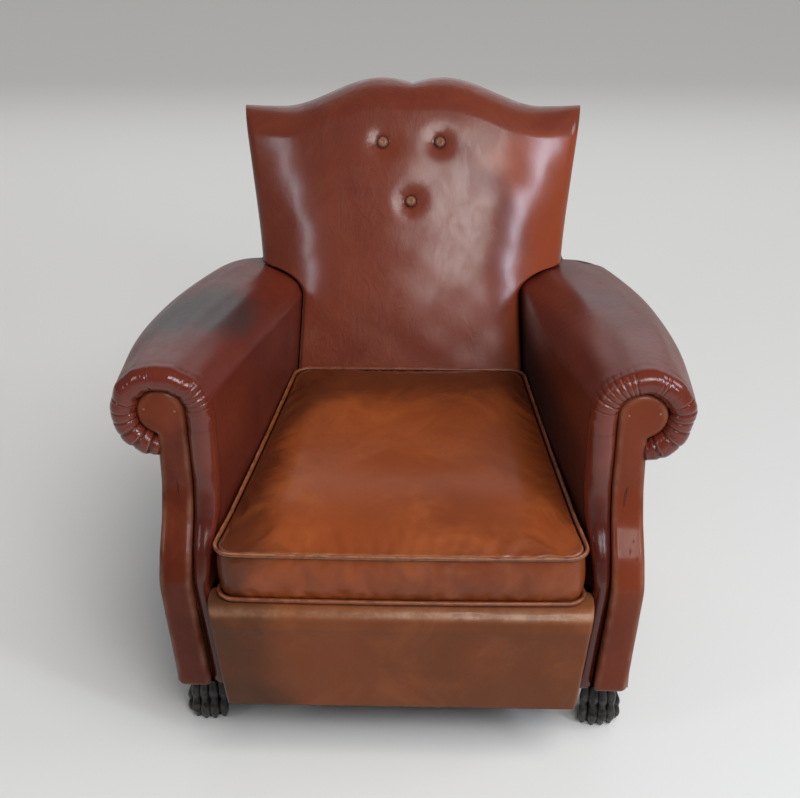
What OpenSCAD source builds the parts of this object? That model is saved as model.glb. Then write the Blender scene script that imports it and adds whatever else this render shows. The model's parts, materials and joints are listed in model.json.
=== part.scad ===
// Club chair with a moustache back, rolled arms with pleated fronts and a loose seat cushion.
// X runs across the chair, Y from the front (minus) to the back, Z is up.
// The origin is on the floor in the middle of the chair's plan.

/* [Arms] */
// Distance from the chair's middle to the centre of an arm scroll
scroll_x = 343; // [330:1:356]
// Height of the scroll's centre above the floor
scroll_z = 560; // [545:1:575]
// Outer radius of the pleated roll round the scroll
scroll_r = 76; // [72:1:80]
// Radius of the facing's round head
head_r = 36; // [33:1:38]
// Outer side panel's distance from the middle, at the front
panel_front_x = 352; // [348:1:356]
// Outer side panel's distance from the middle, at the back
panel_rear_x = 325; // [320:1:330]

/* [Back] */
// Lean of the outside back from upright, in degrees
outer_rake = 13.8; // [12:0.2:15]
// Lean of the inside back from upright, in degrees
inner_rake = 23.85; // [22:0.05:25]
// Half width of the back at its top corners
corner_x = 302; // [296:1:308]
// Height of the top corners along the outside back
corner_t = 725; // [715:1:735]
// Height of the two humps along the outside back
hump_t = 774; // [765:1:780]
// Distance of each hump from the middle
hump_x = 56; // [45:1:65]
// Half width of the back's waist above the arms
waist_x = 275; // [270:1:280]

/* [Seat] */
// Height of the seat deck under the cushion
deck_z = 287; // [282:1:292]
// Height of the cushion's front, from the deck to the top piping
cushion_front_h = 88; // [80:1:92]
// Height of the cushion's rear, from the deck to the top piping
cushion_rear_h = 121; // [114:1:124]
// Rise of the cushion's middle over its piping
cushion_crown = 25; // [16:1:27]
// Front of the cushion, ahead of the middle
cushion_front_y = 408; // [402:1:411]
// Front face of the padded front border, ahead of the middle
border_front_y = 425; // [420:1:430]

/* [Frame and feet] */
// Height of the feet under the frame
foot_h = 105; // [95:1:110]
// Height of the seat rails
rail_h = 90; // [80:1:95]
// Thickness of the timber
timber_t = 28; // [24:1:29]
// Thickness of the leather with its lining
leather_t = 2.5; // [2:0.1:3]

/* [Hidden] */
$fn = 48;

// Clearances between pieces, and a reach beyond the whole chair
soft_gap = 0.3;
dowel_gap = 0.1;
cushion_gap = 2.5;
deck_gap = 1;
far = 1200;

// Heights of the seat frame, over the feet
rail_lift = 5;
rail_bottom_z = foot_h + rail_lift;
rail_top_z = rail_bottom_z + rail_h;

// Where the arms run, and how their section changes over that length
arm_ref_y = -320;
arm_len = 600;
arm_bow = 55.4;
arm_draw_in = 79.5;
arm_drop = 18.5;
arm_drop_more = 41.5;
arm_thin = 45.5;
arm_thin_back = 15.7;
arm_inner_taper = 82.5;
arm_inner_curve = 8.6;
arm_flare = 12;
arm_flare_len = 70;
arm_front_y = -304;
panel_front_y = -380;
panel_rear_y = 334;
arm_bottom_gap = 10;
arm_bottom_z = rail_top_z + arm_bottom_gap;
roll_r = (scroll_r - head_r) / 2;
// Half width of the seat between the arms, at the scrolls
seat_half_w = scroll_x - scroll_r;

// Outside back: a plane that leans from the foot of the frame
back_base_y = 241.8;
back_edge_depth = 26;
notch_t = 764;
trough_x = 237;
trough_t = 723;
back_bottom_t = 151;
back_crown = 6;
inner_back_y = 147;
inner_back_z = 405;
arm_clear = 4;
piping_r = 4;

// Buttons, and the dimples that they draw in
button_r = 10;
button_t = 6;
button_lift = 2.1;
dimple_depth = 9;
dimple_r = 55;
button_x = 51;
button_high_t = 661;
button_low_t = 558;
button_places = [[-button_x, button_high_t], [button_x, button_high_t], [0, button_low_t]];

// Facing: height of its knee and neck, and its edges there
knee_z = 302;
neck_z = 525;
facing_lift = 2;
facing_foot_z = foot_h + facing_lift;
knee_outer_x = 357;
foot_outer_x = 347;
knee_inner_x = 308;
foot_inner_x = 295;
facing_t = 16;
roll_gap = 0.3;
roll_knee_r = 11;
roll_foot_r = 14;
roll_set_back = 9;
roll_neck_z = 440;
// Front of the facing: how far it comes forward from neck to knee, at heights from the foot to
// the knee and from the knee to the neck
facing_neck_y = -327;
facing_knee_y = -395;
facing_low_shares = [[0, 0.84], [0.426, 0.89], [0.81, 0.98]];
facing_high_shares = [[0.06, 1], [0.348, 0.75], [0.638, 0.265], [1, 0]];
facing_side = concat(
    [for (p = facing_low_shares)
        [mix(facing_foot_z, knee_z, p[0]), mix(facing_neck_y, facing_knee_y, p[1])]],
    [for (p = facing_high_shares)
        [mix(knee_z, roll_neck_z, p[0]), mix(facing_neck_y, facing_knee_y, p[1])]],
    [[scroll_z, facing_neck_y], [scroll_z + head_r, facing_neck_y]]
);
pleats = 13;
roll_start_angle = -58;
rings_per_pleat = 4;
pleat_depth_share = 0.11;

// Front border
border_back_y = 340;
border_top_gap = 2;
border_foot_gap = 1;
border_top_half_w = knee_inner_x - 2 * roll_knee_r - border_top_gap;
border_foot_half_w = foot_inner_x - 2 * roll_foot_r - border_foot_gap;
border_step = 16;
border_foot_z = facing_foot_z;
lip_r = 14;
border_bulge = 4;
border_pad_least = 8;

// Cushion
cushion_bulge = 6;
cushion_back_gap = 2.5;
cushion_corner_r = 24;
cushion_piping_r = 4.5;
cushion_front_flare = 2;
cushion_bow = 3;

// Seat build-up
webbing_t = 1.8;
strap_w = 50;
lengthwise_pitch = 90;
crosswise_pitch = 95;
crosswise_front_gap = 62;
block_reach = 70;
spring_top_z = 255;
spring_r = 40;
spring_waist_share = 0.72;
spring_wire_r = 1.9;
spring_turns = 4;
hessian_t = 1.2;
dust_cover_t = 1.2;
post_rear_y = -302;
post_inner_x = 300;
front_rail_y = -border_back_y;
dowel_r = 5;
dowel_len = 50;
foot_dowel_r = 6;
foot_dowel_len = 40;
tack_head_r = 4.5;
tack_head_t = 1;
tack_shank_r = 0.9;
tack_len = 11;

// Helpers: plain functions of one or two values
function clamp(v, lo, hi) = max(lo, min(hi, v));
function ease(v) = let (u = clamp(v, 0, 1)) u * u * (3 - 2 * u);
function mix(a, b, v) = a + (b - a) * v;
// Value of a table of [place, value] rows at a place, along straight lines
function between(table, v, i = 0) =
    v <= table[0][0] ? table[0][1]
    : i >= len(table) - 1 ? table[len(table) - 1][1]
    : v <= table[i + 1][0]
        ? mix(table[i][1], table[i + 1][1], (v - table[i][0]) / (table[i + 1][0] - table[i][0]))
    : between(table, v, i + 1);

function centre_of(ring) = [for (a = [0:2]) let (v = [for (p = ring) p[a]]) (min(v) + max(v)) / 2];
// Closed solid through rings of equally many points, with flat ends or joined end to start
module loft(rings, closed = false) {
    n = len(rings);
    m = len(rings[0]);
    middle1 = centre_of(rings[0]);
    middle2 = centre_of(rings[n - 1]);
    points = concat([for (ring = rings) for (p = ring) p], closed ? [] : [middle1, middle2]);
    last = closed ? n - 1 : n - 2;
    sides = [
        for (k = [0:last]) for (i = [0:m - 1])
            let (a = k * m + i, b = k * m + (i + 1) % m)
            let (c = ((k + 1) % n) * m + (i + 1) % m, d = ((k + 1) % n) * m + i)
            for (f = [[a, c, b], [a, d, c]]) f
    ];
    ends = [
        for (i = [0:m - 1])
            let (j = (i + 1) % m, z = (n - 1) * m)
            for (f = [[n * m, i, j], [n * m + 1, z + j, z + i]]) f
    ];
    polyhedron(points, closed ? sides : concat(sides, ends), convexity = 10);
}

// Closed solid between two grids of points with as many rows and columns
module between_grids(front, rear) {
    n = len(front);
    m = len(front[0]);
    w = 2 * m;
    points = [for (k = [0:n - 1]) for (i = [0:w - 1]) i < m ? front[k][i] : rear[k][w - 1 - i]];
    sides = [
        for (k = [0:n - 2]) for (i = [0:w - 1])
            let (a = k * w + i, b = k * w + (i + 1) % w, c = b + w, d = a + w)
            for (f = i < m ? [[a, b, c], [a, c, d]] : [[a, b, d], [b, c, d]]) f
    ];
    caps = [
        for (i = [0:m - 2])
            let (a = i, b = i + 1, c = w - 2 - i, d = w - 1 - i, z = (n - 1) * w)
            for (f = [[a, c, b], [a, d, c], [z + a, z + b, z + c], [z + a, z + c, z + d]]) f
    ];
    polyhedron(points, concat(sides, caps), convexity = 10);
}

// Mirror image for the chair's left arm; the shapes are written for the right arm, at plus X
module on_side(side) {
    mirror([side < 0 ? 1 : 0, 0, 0]) children();
}

// Profile in Y and Z drawn out along X, and profile in X and Z drawn out along Y
module along_x(x1, x2) {
    translate([x1, 0, 0]) rotate([90, 0, 90]) linear_extrude(x2 - x1) children();
}
module along_y(y1, y2) {
    translate([0, y2, 0]) rotate([90, 0, 0]) linear_extrude(y2 - y1) children();
}

// Frame of the outside back: X across, Y forward is minus, Z up along the leaning plane
module raked() {
    translate([0, back_base_y, foot_h]) rotate([-outer_rake, 0, 0]) children();
}
// Slab that is parallel to the outside back, from depth w1 to w2 in front of it
module back_slab(w1, w2) {
    raked() translate([0, -w1, 0]) rotate([90, 0, 0]) linear_extrude(w2 - w1) children();
}
function raked_point(x, t, w) = [
    x,
    back_base_y + t * sin(outer_rake) - w * cos(outer_rake),
    foot_h + t * cos(outer_rake) + w * sin(outer_rake)
];
function rear_plane_y(z) = back_base_y + (z - foot_h) * tan(outer_rake);

// Arm: an upright oval roll over a side, with every size a curve of the place along the arm
function arm_s(y) = (y - arm_ref_y) / arm_len;
function arm_outer(y) = let (s = arm_s(y)) scroll_x + scroll_r + arm_bow * s - arm_draw_in * s * s;
function seat_half(y) = let (s = arm_s(y)) seat_half_w - arm_inner_taper * s + arm_inner_curve * s * s;
function arm_inner(y) = seat_half(y) + arm_flare * pow(max(0, arm_front_y - y) / arm_flare_len, 2);
function arm_mid_z(y) = let (s = arm_s(y)) scroll_z - arm_drop * s - arm_drop_more * s * s;
function arm_half_h(y) = let (s = arm_s(y)) scroll_r - arm_thin * s + arm_thin_back * s * s;
function panel_x(y) =
    mix(panel_front_x, panel_rear_x, (y - panel_front_y) / (panel_rear_y - panel_front_y));
function facing_y(z) = between(facing_side, z);
// Angle under the roll where its cover meets the outer side panel
function roll_end_angle(y) =
    let (a = (arm_outer(y) - seat_half(y)) / 2, xc = (arm_outer(y) + seat_half(y)) / 2)
    -acos(clamp((panel_x(y) + leather_t - xc) / a, -1, 1));
function roll_under_z(y) = arm_mid_z(y) + arm_half_h(y) * sin(roll_end_angle(y));
// One point of the arm's section, drawn in by a thickness: over the roll, then down the inner side
arm_arc_steps = 12;
arm_side_shares = [0.12, 0.343, 0.486, 0.6, 0.714, 1];
function arm_section(y, i, inset) =
    let (a = (arm_outer(y) - seat_half(y)) / 2, xc = (arm_outer(y) + seat_half(y)) / 2)
    let (start = roll_end_angle(y), b = arm_half_h(y), zc = arm_mid_z(y))
    i <= arm_arc_steps
        ? let (g = mix(start, 180, i / arm_arc_steps))
          [xc + (a - inset) * cos(g) + (arm_inner(y) - seat_half(y)) * max(0, -cos(g)),
           zc + (b - inset) * sin(g)]
        : [arm_inner(y) + inset, mix(zc, arm_bottom_z, arm_side_shares[i - arm_arc_steps - 1])];
function arm_points(share, inset, front) = [
    for (i = [0:arm_count - 1])
        let (y0 = mix(arm_front_y, panel_rear_y, share))
        let (z0 = arm_section(y0, i, inset)[1])
        let (y1 = front ? facing_y(z0) + arm_front_y - facing_y(scroll_z) : arm_pad_front_y)
        let (y = mix(y1, rear_plane_y(z0) - arm_rear_gap, share))
        let (q = arm_section(y, i, inset))
        [q[0], y, q[1]]
];
arm_pad_front_y = arm_front_y + roll_r / 3;
// The arm's padding stops clear of the piping round the outside back
arm_rear_gap = (2 * piping_r + 4 * soft_gap) / cos(outer_rake);
arm_shares = [0, 0.06, 0.14, 0.26, 0.4, 0.55, 0.7, 0.85, 1];
arm_count = arm_arc_steps + 1 + len(arm_side_shares);
// Top of the arm's timber, inside the roll
arm_core_drop = 12;
arm_core_h = 45;
function arm_core_z(y) = arm_mid_z(y) - arm_core_drop;
arm_lining = 2 * webbing_t + hessian_t;

// Back: depths of its layers, then the outline and the inside back's surface
back_frame_w = leather_t + soft_gap;
frame_front_w = back_frame_w + timber_t;
back_lining_w = frame_front_w + 2 * webbing_t + hessian_t + 2 * soft_gap;
function back_top(x) =
    let (u = abs(x))
    u < hump_x ? hump_t - (hump_t - notch_t) * pow(1 - u / hump_x, 2)
    : u < trough_x ? mix(hump_t, trough_t, ease((u - hump_x) / (trough_x - hump_x)))
    : mix(trough_t, corner_t, pow((u - trough_x) / (corner_x - trough_x), 2));
function back_side(t) = mix(waist_x, corner_x, pow(max(0, t - waist_t) / (corner_t - waist_t), 1.25));
function inner_plane(t) =
    let (m = tan(inner_rake), s = sin(outer_rake), c = cos(outer_rake))
    (back_base_y - inner_back_y + m * (inner_back_z - foot_h) + t * (s - m * c)) / (c + m * s);
function dimple(x, t) =
    let (near = [for (b = button_places) norm([x - b[0], t - b[1]]) / dimple_r])
    dimple_depth * max([for (d = near) pow(max(0, 1 - d), 2)]);
function inner_depth(x, t, crown_share) =
    inner_plane(t) + back_crown * crown_share - dimple(x, t);
// Half width at a place: the back's own side, or the arm's inner side where that is nearer
function side_limit(y, z) =
    let (b = arm_half_h(y) + arm_clear, h = (z - arm_mid_z(y)) / b)
    let (a = (arm_outer(y) - seat_half(y)) / 2 + arm_clear, xc = (arm_outer(y) + seat_half(y)) / 2)
    h <= 0 ? xc - a : h < 1 ? xc - a * sqrt(1 - h * h) : corner_x * 2;
// Column shares of the half width with their drop towards the rear, in edge depths; 8 is the depth
// of the stuffing's rear face and 9 the rear edge
back_column_shares = [
    [0, 0], [0.17, 0], [0.34, 0], [0.6, 0], [0.85, 0], [0.96, 0.16], [1, 0.8], [1, 7], [1, 8], [1, 9]
];
back_columns = concat(
    [for (i = [len(back_column_shares) - 1:-1:1]) [-back_column_shares[i][0], back_column_shares[i][1]]],
    back_column_shares
);
back_row_shares = [
    [0, 0], [0.2, 0], [0.34, 0], [0.38, 0], [0.41, 0], [0.435, 0], [0.47, 0], [0.53, 0], [0.66, 0],
    [0.82, 0], [0.93, 0], [0.98, 0.1], [1, 0.45], [1, 9]
];
function crown_share(u, v) = (1 - u * u) * (1 - pow(2 * v - 1, 2));
function back_point(col, row, inset, w_rear) =
    let (u = col[0], v = row[0], drop = max(col[1], row[1]))
    let (t0 = mix(back_bottom_t, corner_t, v), x0 = u * (back_side(t0) - inset))
    let (t = mix(back_bottom_t, back_top(x0) - inset, v))
    let (w0 = inner_depth(x0, t, crown_share(u, v)) - inset, w_mid = max(w_rear, back_lining_w + soft_gap))
    let (w = drop > 8 ? w_rear
        : drop > 7 ? w_mid
        : drop > 6 ? max(w_mid, mix(w_mid, w0, 0.5) - back_edge_depth / 2)
        : max(w_rear, w0 - drop * back_edge_depth))
    let (p = raked_point(0, t, w))
    let (half = min(back_side(t) - inset, side_limit(p[1], p[2]) - inset))
    raked_point(u * half, t, w);
function back_grid(inset, w_rear) =
    [for (row = back_row_shares) [for (col = back_columns) back_point(col, row, inset, w_rear)]];
function back_plane_grid(inset, w_rear) =
    [for (row = back_row_shares) [for (col = back_columns) back_point([col[0], 9], row, inset, w_rear)]];

// Outline of the outside back, from the right foot up round the arm's end, over the top and down
outline_arc_steps = 12;
top_steps = 22;
function arm_end_t(g) =
    (arm_mid_z(panel_rear_y) + arm_half_h(panel_rear_y) * sin(g) - foot_h) / cos(outer_rake);
function arm_end_x(g) =
    let (y = panel_rear_y, a = (arm_outer(y) - seat_half(y)) / 2, xc = (arm_outer(y) + seat_half(y)) / 2)
    xc + a * cos(g);
arm_end_turn = 90;
// The back's waist lies just under the top of the arms' rear ends
waist_drop = 10;
waist_t = arm_end_t(arm_end_turn) - waist_drop;
side_rise_shares = [0.1, 0.37, 0.61, 0.81, 1];
right_outline = concat(
    [[panel_x(rear_plane_y(foot_h)), leather_t]],
    [for (i = [0:outline_arc_steps])
        let (g = mix(roll_end_angle(panel_rear_y), arm_end_turn, i / outline_arc_steps))
        [arm_end_x(g), arm_end_t(g)]],
    [for (v = side_rise_shares) let (t = mix(waist_t, corner_t, v)) [back_side(t), t]],
    [for (i = [1:top_steps]) let (x = corner_x * (1 - i / top_steps)) [x, back_top(x)]]
);
outline_count = len(right_outline);
back_outline = concat(
    right_outline,
    [for (i = [outline_count - 2:-1:0]) [-right_outline[i][0], right_outline[i][1]]]
);

// Timber frame
module rail_dowels(extra) {
    for (z = [rail_bottom_z + rail_h / 4, rail_bottom_z + rail_h * 3 / 4])
        for (side = [-1, 1])
            translate([side * post_inner_x, front_rail_y + timber_t / 2, z]) rotate([0, 90, 0])
                cylinder(r = dowel_r + extra, h = dowel_len + 2 * extra, center = true);
}
module rear_dowels(extra) {
    for (t = [rear_rail_t + rail_h / 4, rear_rail_t + rail_h * 3 / 4])
        for (side = [-1, 1])
            raked() translate([side * rear_rail_half, -back_frame_w - timber_t / 2, t]) rotate([0, 90, 0])
                cylinder(r = dowel_r + extra, h = dowel_len + 2 * extra, center = true);
}
module foot_dowel_set(extra) {
    for (side = [-1, 1]) {
        translate([side * paw_x, paw_y, foot_h])
            cylinder(r = foot_dowel_r + extra, h = foot_dowel_len + 2 * extra, center = true);
        translate([side * rear_foot_x, rear_foot_y, foot_h])
            cylinder(r = foot_dowel_r + extra, h = foot_dowel_len + 2 * extra, center = true);
    }
}
rear_rail_t = (rail_bottom_z - foot_h) / cos(outer_rake);
rear_rail_half = panel_rear_x - leather_t - soft_gap - timber_t - soft_gap;

// Bar of the side frame: between two depths inside the outer panel, over a stretch of Y
module side_bar(y1, y2, d1, d2, z1, z2) {
    translate([0, 0, z1]) linear_extrude(z2 - z1) polygon([
        [panel_x(y1) - d1, y1], [panel_x(y2) - d1, y2], [panel_x(y2) - d2, y2], [panel_x(y1) - d2, y1]
    ]);
}
// Everything behind the front face of the back's timber
module behind_posts(w) {
    back_slab(-far, w) translate([-far, -far]) square(2 * far);
}

module front_seat_rail() {
    color("burlywood") difference() {
        translate([-post_inner_x, front_rail_y, rail_bottom_z]) cube([2 * post_inner_x, timber_t, rail_h]);
        rail_dowels(dowel_gap);
        tack_set(dowel_gap);
    }
}

module rear_seat_rail() {
    color("burlywood") difference() {
        back_slab(back_frame_w, frame_front_w)
            translate([-rear_rail_half, rear_rail_t]) square([2 * rear_rail_half, rail_h]);
        rear_dowels(dowel_gap);
        tack_set(dowel_gap);
    }
}

module side_seat_rail(side) {
    d = leather_t + soft_gap;
    color("burlywood") difference() {
        on_side(side) side_bar(post_rear_y, panel_rear_y, d, d + timber_t, rail_bottom_z, rail_top_z);
        behind_posts(frame_front_w);
        tack_set(dowel_gap);
    }
}

// Inner edge of the facing over its height, and its outline with the round head, drawn in by an inset
function facing_inner(z) = between(
    [[facing_foot_z, foot_inner_x], [knee_z, knee_inner_x], [roll_neck_z, scroll_x - head_r]], z);
module facing_outline(inset) {
    polygon([
        [foot_inner_x + inset, facing_foot_z], [foot_outer_x - inset, facing_foot_z],
        [knee_outer_x - inset, knee_z], [panel_front_x - inset, neck_z],
        [panel_front_x - inset, scroll_z],
        [scroll_x - head_r + inset, scroll_z], [scroll_x - head_r + inset, roll_neck_z],
        [knee_inner_x + inset, knee_z]
    ]);
    translate([scroll_x, scroll_z]) circle(head_r - inset);
}
// Band behind the facing's front, from depth d1 to d2
module facing_band(d1, d2) {
    polygon(concat(
        [for (p = facing_side) [p[1] + d1, p[0]]],
        [for (i = [len(facing_side) - 1:-1:0]) [facing_side[i][1] + d2, facing_side[i][0]]]
    ));
}
module post_side() {
    polygon(concat(
        [[post_rear_y, foot_h], [facing_side[0][1] + facing_t + soft_gap, foot_h]],
        [for (p = facing_side) [p[1] + facing_t + soft_gap, p[0]]],
        [[post_rear_y, scroll_z + head_r]]
    ));
}

module arm_front_post(side) {
    d = leather_t + soft_gap;
    color("burlywood") difference() {
        intersection() {
            on_side(side) along_x(0, far) post_side();
            on_side(side) along_y(-far, far) union() {
                polygon([
                    [post_inner_x, foot_h], [foot_outer_x - d, foot_h], [panel_front_x - 2 * d, knee_z],
                    [panel_front_x - 2 * d, scroll_z], [scroll_x - head_r + d, scroll_z],
                    [scroll_x - head_r + d, roll_neck_z], [scroll_x - head_r + d, knee_z]
                ]);
                translate([scroll_x, scroll_z]) circle(head_r - d);
            }
        }
        rail_dowels(dowel_gap);
        foot_dowel_set(dowel_gap);
    }
}

module rear_corner_post(side) {
    top_t = (arm_core_z(panel_rear_y) - foot_h) / cos(outer_rake) - frame_front_w * tan(outer_rake);
    x_low = panel_x(rear_plane_y(foot_h)) - back_edge_inset;
    x_top = panel_x(panel_rear_y) - back_edge_inset;
    color("burlywood") difference() {
        on_side(side) intersection() {
            back_slab(back_frame_w, frame_front_w) polygon([
                [rear_rail_half, -timber_t], [x_low, -timber_t], [x_low, 0],
                [x_top, top_t], [rear_rail_half, top_t]
            ]);
            translate([0, -far, foot_h]) cube([far, 2 * far, far]);
        }
        rear_dowels(dowel_gap);
        foot_dowel_set(dowel_gap);
    }
}

arm_rail_shares = [0, 0.25, 0.5, 0.75, 1];
module arm_top_rail(side) {
    d = leather_t + soft_gap;
    ys = [for (v = arm_rail_shares) mix(post_rear_y, panel_rear_y, v)];
    color("burlywood") difference() {
        on_side(side) intersection() {
            side_bar(post_rear_y, panel_rear_y, d, d + timber_t, 0, far);
            along_x(0, far) polygon(concat(
                [for (y = ys) [y, arm_core_z(y)]],
                [for (y = reversed(ys)) [y, arm_core_z(y) - arm_core_h]]
            ));
        }
        behind_posts(frame_front_w);
    }
}

cross_rail_lift = 22;
cross_rail_t = waist_t + cross_rail_lift;
cross_rail_h = 45;
top_rail_h = 70;
top_rail_t = corner_t - top_rail_h;
// The uprights stand just inside the back's leather, where the arms leave it narrowest
upright_half = seat_half(panel_rear_y) - arm_clear - leather_t - 3 * soft_gap;
upright_w = 42;
back_edge_inset = 2 * piping_r + 2 * soft_gap;
module back_upright(side) {
    color("burlywood") on_side(side) back_slab(back_frame_w, frame_front_w)
        translate([upright_half - upright_w, rear_rail_t + rail_h])
            square([upright_w, cross_rail_t - rear_rail_t - rail_h]);
}
module back_timber(t1, t2) {
    back_slab(back_frame_w, frame_front_w) intersection() {
        offset(delta = -back_edge_inset) polygon(back_outline);
        translate([-far, t1]) square([2 * far, t2 - t1]);
        children();
    }
}
module whole_plane() {
    translate([-far, -far]) square(2 * far);
}
module back_cross_rail() {
    color("burlywood") back_timber(cross_rail_t, cross_rail_t + cross_rail_h) whole_plane();
}
module back_side_rail(side) {
    color("burlywood") on_side(side) back_timber(cross_rail_t + cross_rail_h, top_rail_t)
        polygon([
            [back_side(cross_rail_t) - upright_w - back_edge_inset, cross_rail_t],
            [corner_x, cross_rail_t], [corner_x, corner_t],
            [back_side(top_rail_t) - upright_w - back_edge_inset, top_rail_t]
        ]);
}
module back_top_rail() {
    color("burlywood") back_timber(top_rail_t, hump_t) whole_plane();
}

module corner_blocks() {
    d = leather_t + 2 * soft_gap + timber_t;
    y1 = front_rail_y + timber_t + soft_gap;
    color("tan") for (side = [-1, 1])
        on_side(side) translate([0, 0, rail_bottom_z + webbing_t]) linear_extrude(rail_h - 2 * webbing_t)
            polygon([
                [post_inner_x - soft_gap, y1], [post_inner_x - soft_gap, post_rear_y + soft_gap],
                [panel_x(post_rear_y) - d, post_rear_y + soft_gap],
                [panel_x(post_rear_y + block_reach) - d, post_rear_y + block_reach],
                [post_inner_x - block_reach, y1]
            ]);
}

module frame_dowels() {
    color("wheat") {
        rail_dowels(0);
        rear_dowels(0);
    }
}
module foot_dowels() {
    color("wheat") foot_dowel_set(0);
}

// Feet: a carved paw with four toes under each front post, a splayed block at the back
paw_x = 322;
paw_y = -322;
paw_half_w = 28;
paw_toes = 4;
toe_depth_share = 0.16;
// Height share, half width share, depth share, forward shift share and how square the section is
paw_shares = [
    [0, 0.93, 1.0, 0.02, 0], [0.05, 1.02, 1.1, 0.06, 0], [0.14, 1.06, 1.16, 0.1, 0],
    [0.26, 1.0, 1.1, 0.12, 0], [0.36, 0.88, 0.92, 0.02, 0], [0.46, 0.74, 0.74, 0, 0],
    [0.58, 0.68, 0.68, 0, 0.2], [0.7, 0.74, 0.72, 0, 0.5], [0.8, 0.84, 0.78, 0, 1],
    [1, 0.88, 0.8, 0, 1]
];
paw_toe_span = 168;
toe_steps = 6;
paw_angles = concat(
    [for (i = [0:paw_toes * toe_steps]) 270 - paw_toe_span / 2 + paw_toe_span * i / (paw_toes * toe_steps)],
    [for (i = [1:9]) 270 + paw_toe_span / 2 + (360 - paw_toe_span) * i / 10]
);
function toe_wave(g) =
    let (p = (g - 270 + paw_toe_span / 2) / paw_toe_span * paw_toes)
    p < 0 || p > paw_toes ? 0 : 1 - abs(sin(180 * p));
function paw_point(row, g) =
    let (square_r = 1 / max(abs(cos(g)), abs(sin(g))), r = mix(1, square_r, row[4]))
    let (toe = 1 - toe_depth_share * toe_wave(g) * ease((0.5 - row[0]) * 4))
    [paw_x + paw_half_w * row[1] * r * toe * cos(g),
     paw_y + paw_half_w * (row[2] * r * toe * sin(g) - row[3] * 2),
     row[0] * foot_h];
module front_paw_foot(side) {
    color("saddlebrown") difference() {
        on_side(side) loft([for (row = paw_shares) [for (g = paw_angles) paw_point(row, g)]]);
        foot_dowel_set(dowel_gap);
    }
}

rear_foot_x = rear_rail_half + timber_t / 2;
rear_foot_y = 224;
rear_foot_top = 26;
rear_foot_tip = 34;
rear_foot_splay = 16;
module rear_foot(side) {
    top = rear_foot_top / 2;
    tip = rear_foot_tip / 2;
    color("saddlebrown") difference() {
        on_side(side) intersection() {
            along_y(-far, far) polygon([
                [rear_foot_x - tip, 0], [rear_foot_x + tip, 0], [rear_foot_x + top, foot_h],
                [rear_foot_x - top, foot_h]
            ]);
            along_x(0, far) polygon([
                [rear_foot_y + rear_foot_splay - tip, 0], [rear_foot_y + rear_foot_splay + tip, 0],
                [rear_foot_y + top, foot_h], [rear_foot_y - top, foot_h]
            ]);
        }
        foot_dowel_set(dowel_gap);
    }
}

// Seat build-up: webbing under the rails, coil springs, hessian, stuffing and the platform cover
function inside_back_y(z) = inner_back_y + (z - inner_back_z) * tan(inner_rake);
deck_rear_y = inside_back_y(spring_top_z) - back_crown;
lengthwise_x = [for (i = [-2:2]) i * lengthwise_pitch];
crosswise_y = [for (i = [0:4]) front_rail_y + timber_t + crosswise_front_gap + i * crosswise_pitch];
module seat_webbing() {
    color("peru") {
        for (x = lengthwise_x)
            translate([x - strap_w / 2, front_rail_y, rail_bottom_z - 2 * webbing_t])
                cube([strap_w, rear_plane_y(rail_bottom_z) - front_rail_y - timber_t, webbing_t]);
        for (y = crosswise_y)
            translate([0, y, rail_bottom_z - webbing_t]) linear_extrude(webbing_t)
                let (reach = panel_x(y) - 2 * leather_t) square([2 * reach, strap_w], center = true);
    }
}

spring_pitch = 3 * spring_r;
spring_row_shares = [0.2, 0.52, 0.845];
spring_places = [
    for (i = [-1:1]) for (v = spring_row_shares)
        [i * spring_pitch, mix(front_rail_y + timber_t, deck_rear_y, v)]
];
spring_rings_per_turn = 8;
spring_sides = 6;
spring_z = rail_bottom_z + spring_wire_r + soft_gap;
spring_rise = spring_top_z - soft_gap - spring_wire_r - spring_z;
function spring_radius(u) = spring_r * mix(spring_waist_share, 1, pow(abs(2 * u - 1), 1.5));
// Height of the wire: it lies nearly flat in the first and last half turn
function spring_height(u) = spring_z + spring_rise * mix(u, ease(u), 0.5);
spring_count = spring_turns * spring_rings_per_turn;
spring_path = [
    for (i = [0:spring_count])
        let (u = i / spring_count, g = 360 * spring_turns * u, r = spring_radius(u))
        [r * cos(g), r * sin(g), spring_height(u), g]
];
module coil_spring() {
    loft([
        for (p = spring_path) [
            for (j = [0:spring_sides - 1])
                let (f = -360 * j / spring_sides)
                [p[0] + spring_wire_r * cos(f) * cos(p[3]), p[1] + spring_wire_r * cos(f) * sin(p[3]),
                 p[2] + spring_wire_r * sin(f)]
        ]
    ]);
}
spring_turn_gap = min([
    for (i = [0:spring_count - spring_rings_per_turn])
        norm([
            spring_path[i][0] - spring_path[i + spring_rings_per_turn][0],
            spring_path[i][1] - spring_path[i + spring_rings_per_turn][1],
            spring_path[i][2] - spring_path[i + spring_rings_per_turn][2]
        ])
]) - 2 * spring_wire_r;
echo(least_gap_between_spring_turns = spring_turn_gap);
module seat_springs() {
    color("silver") for (p = spring_places) translate([p[0], p[1], 0]) coil_spring();
}

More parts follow.
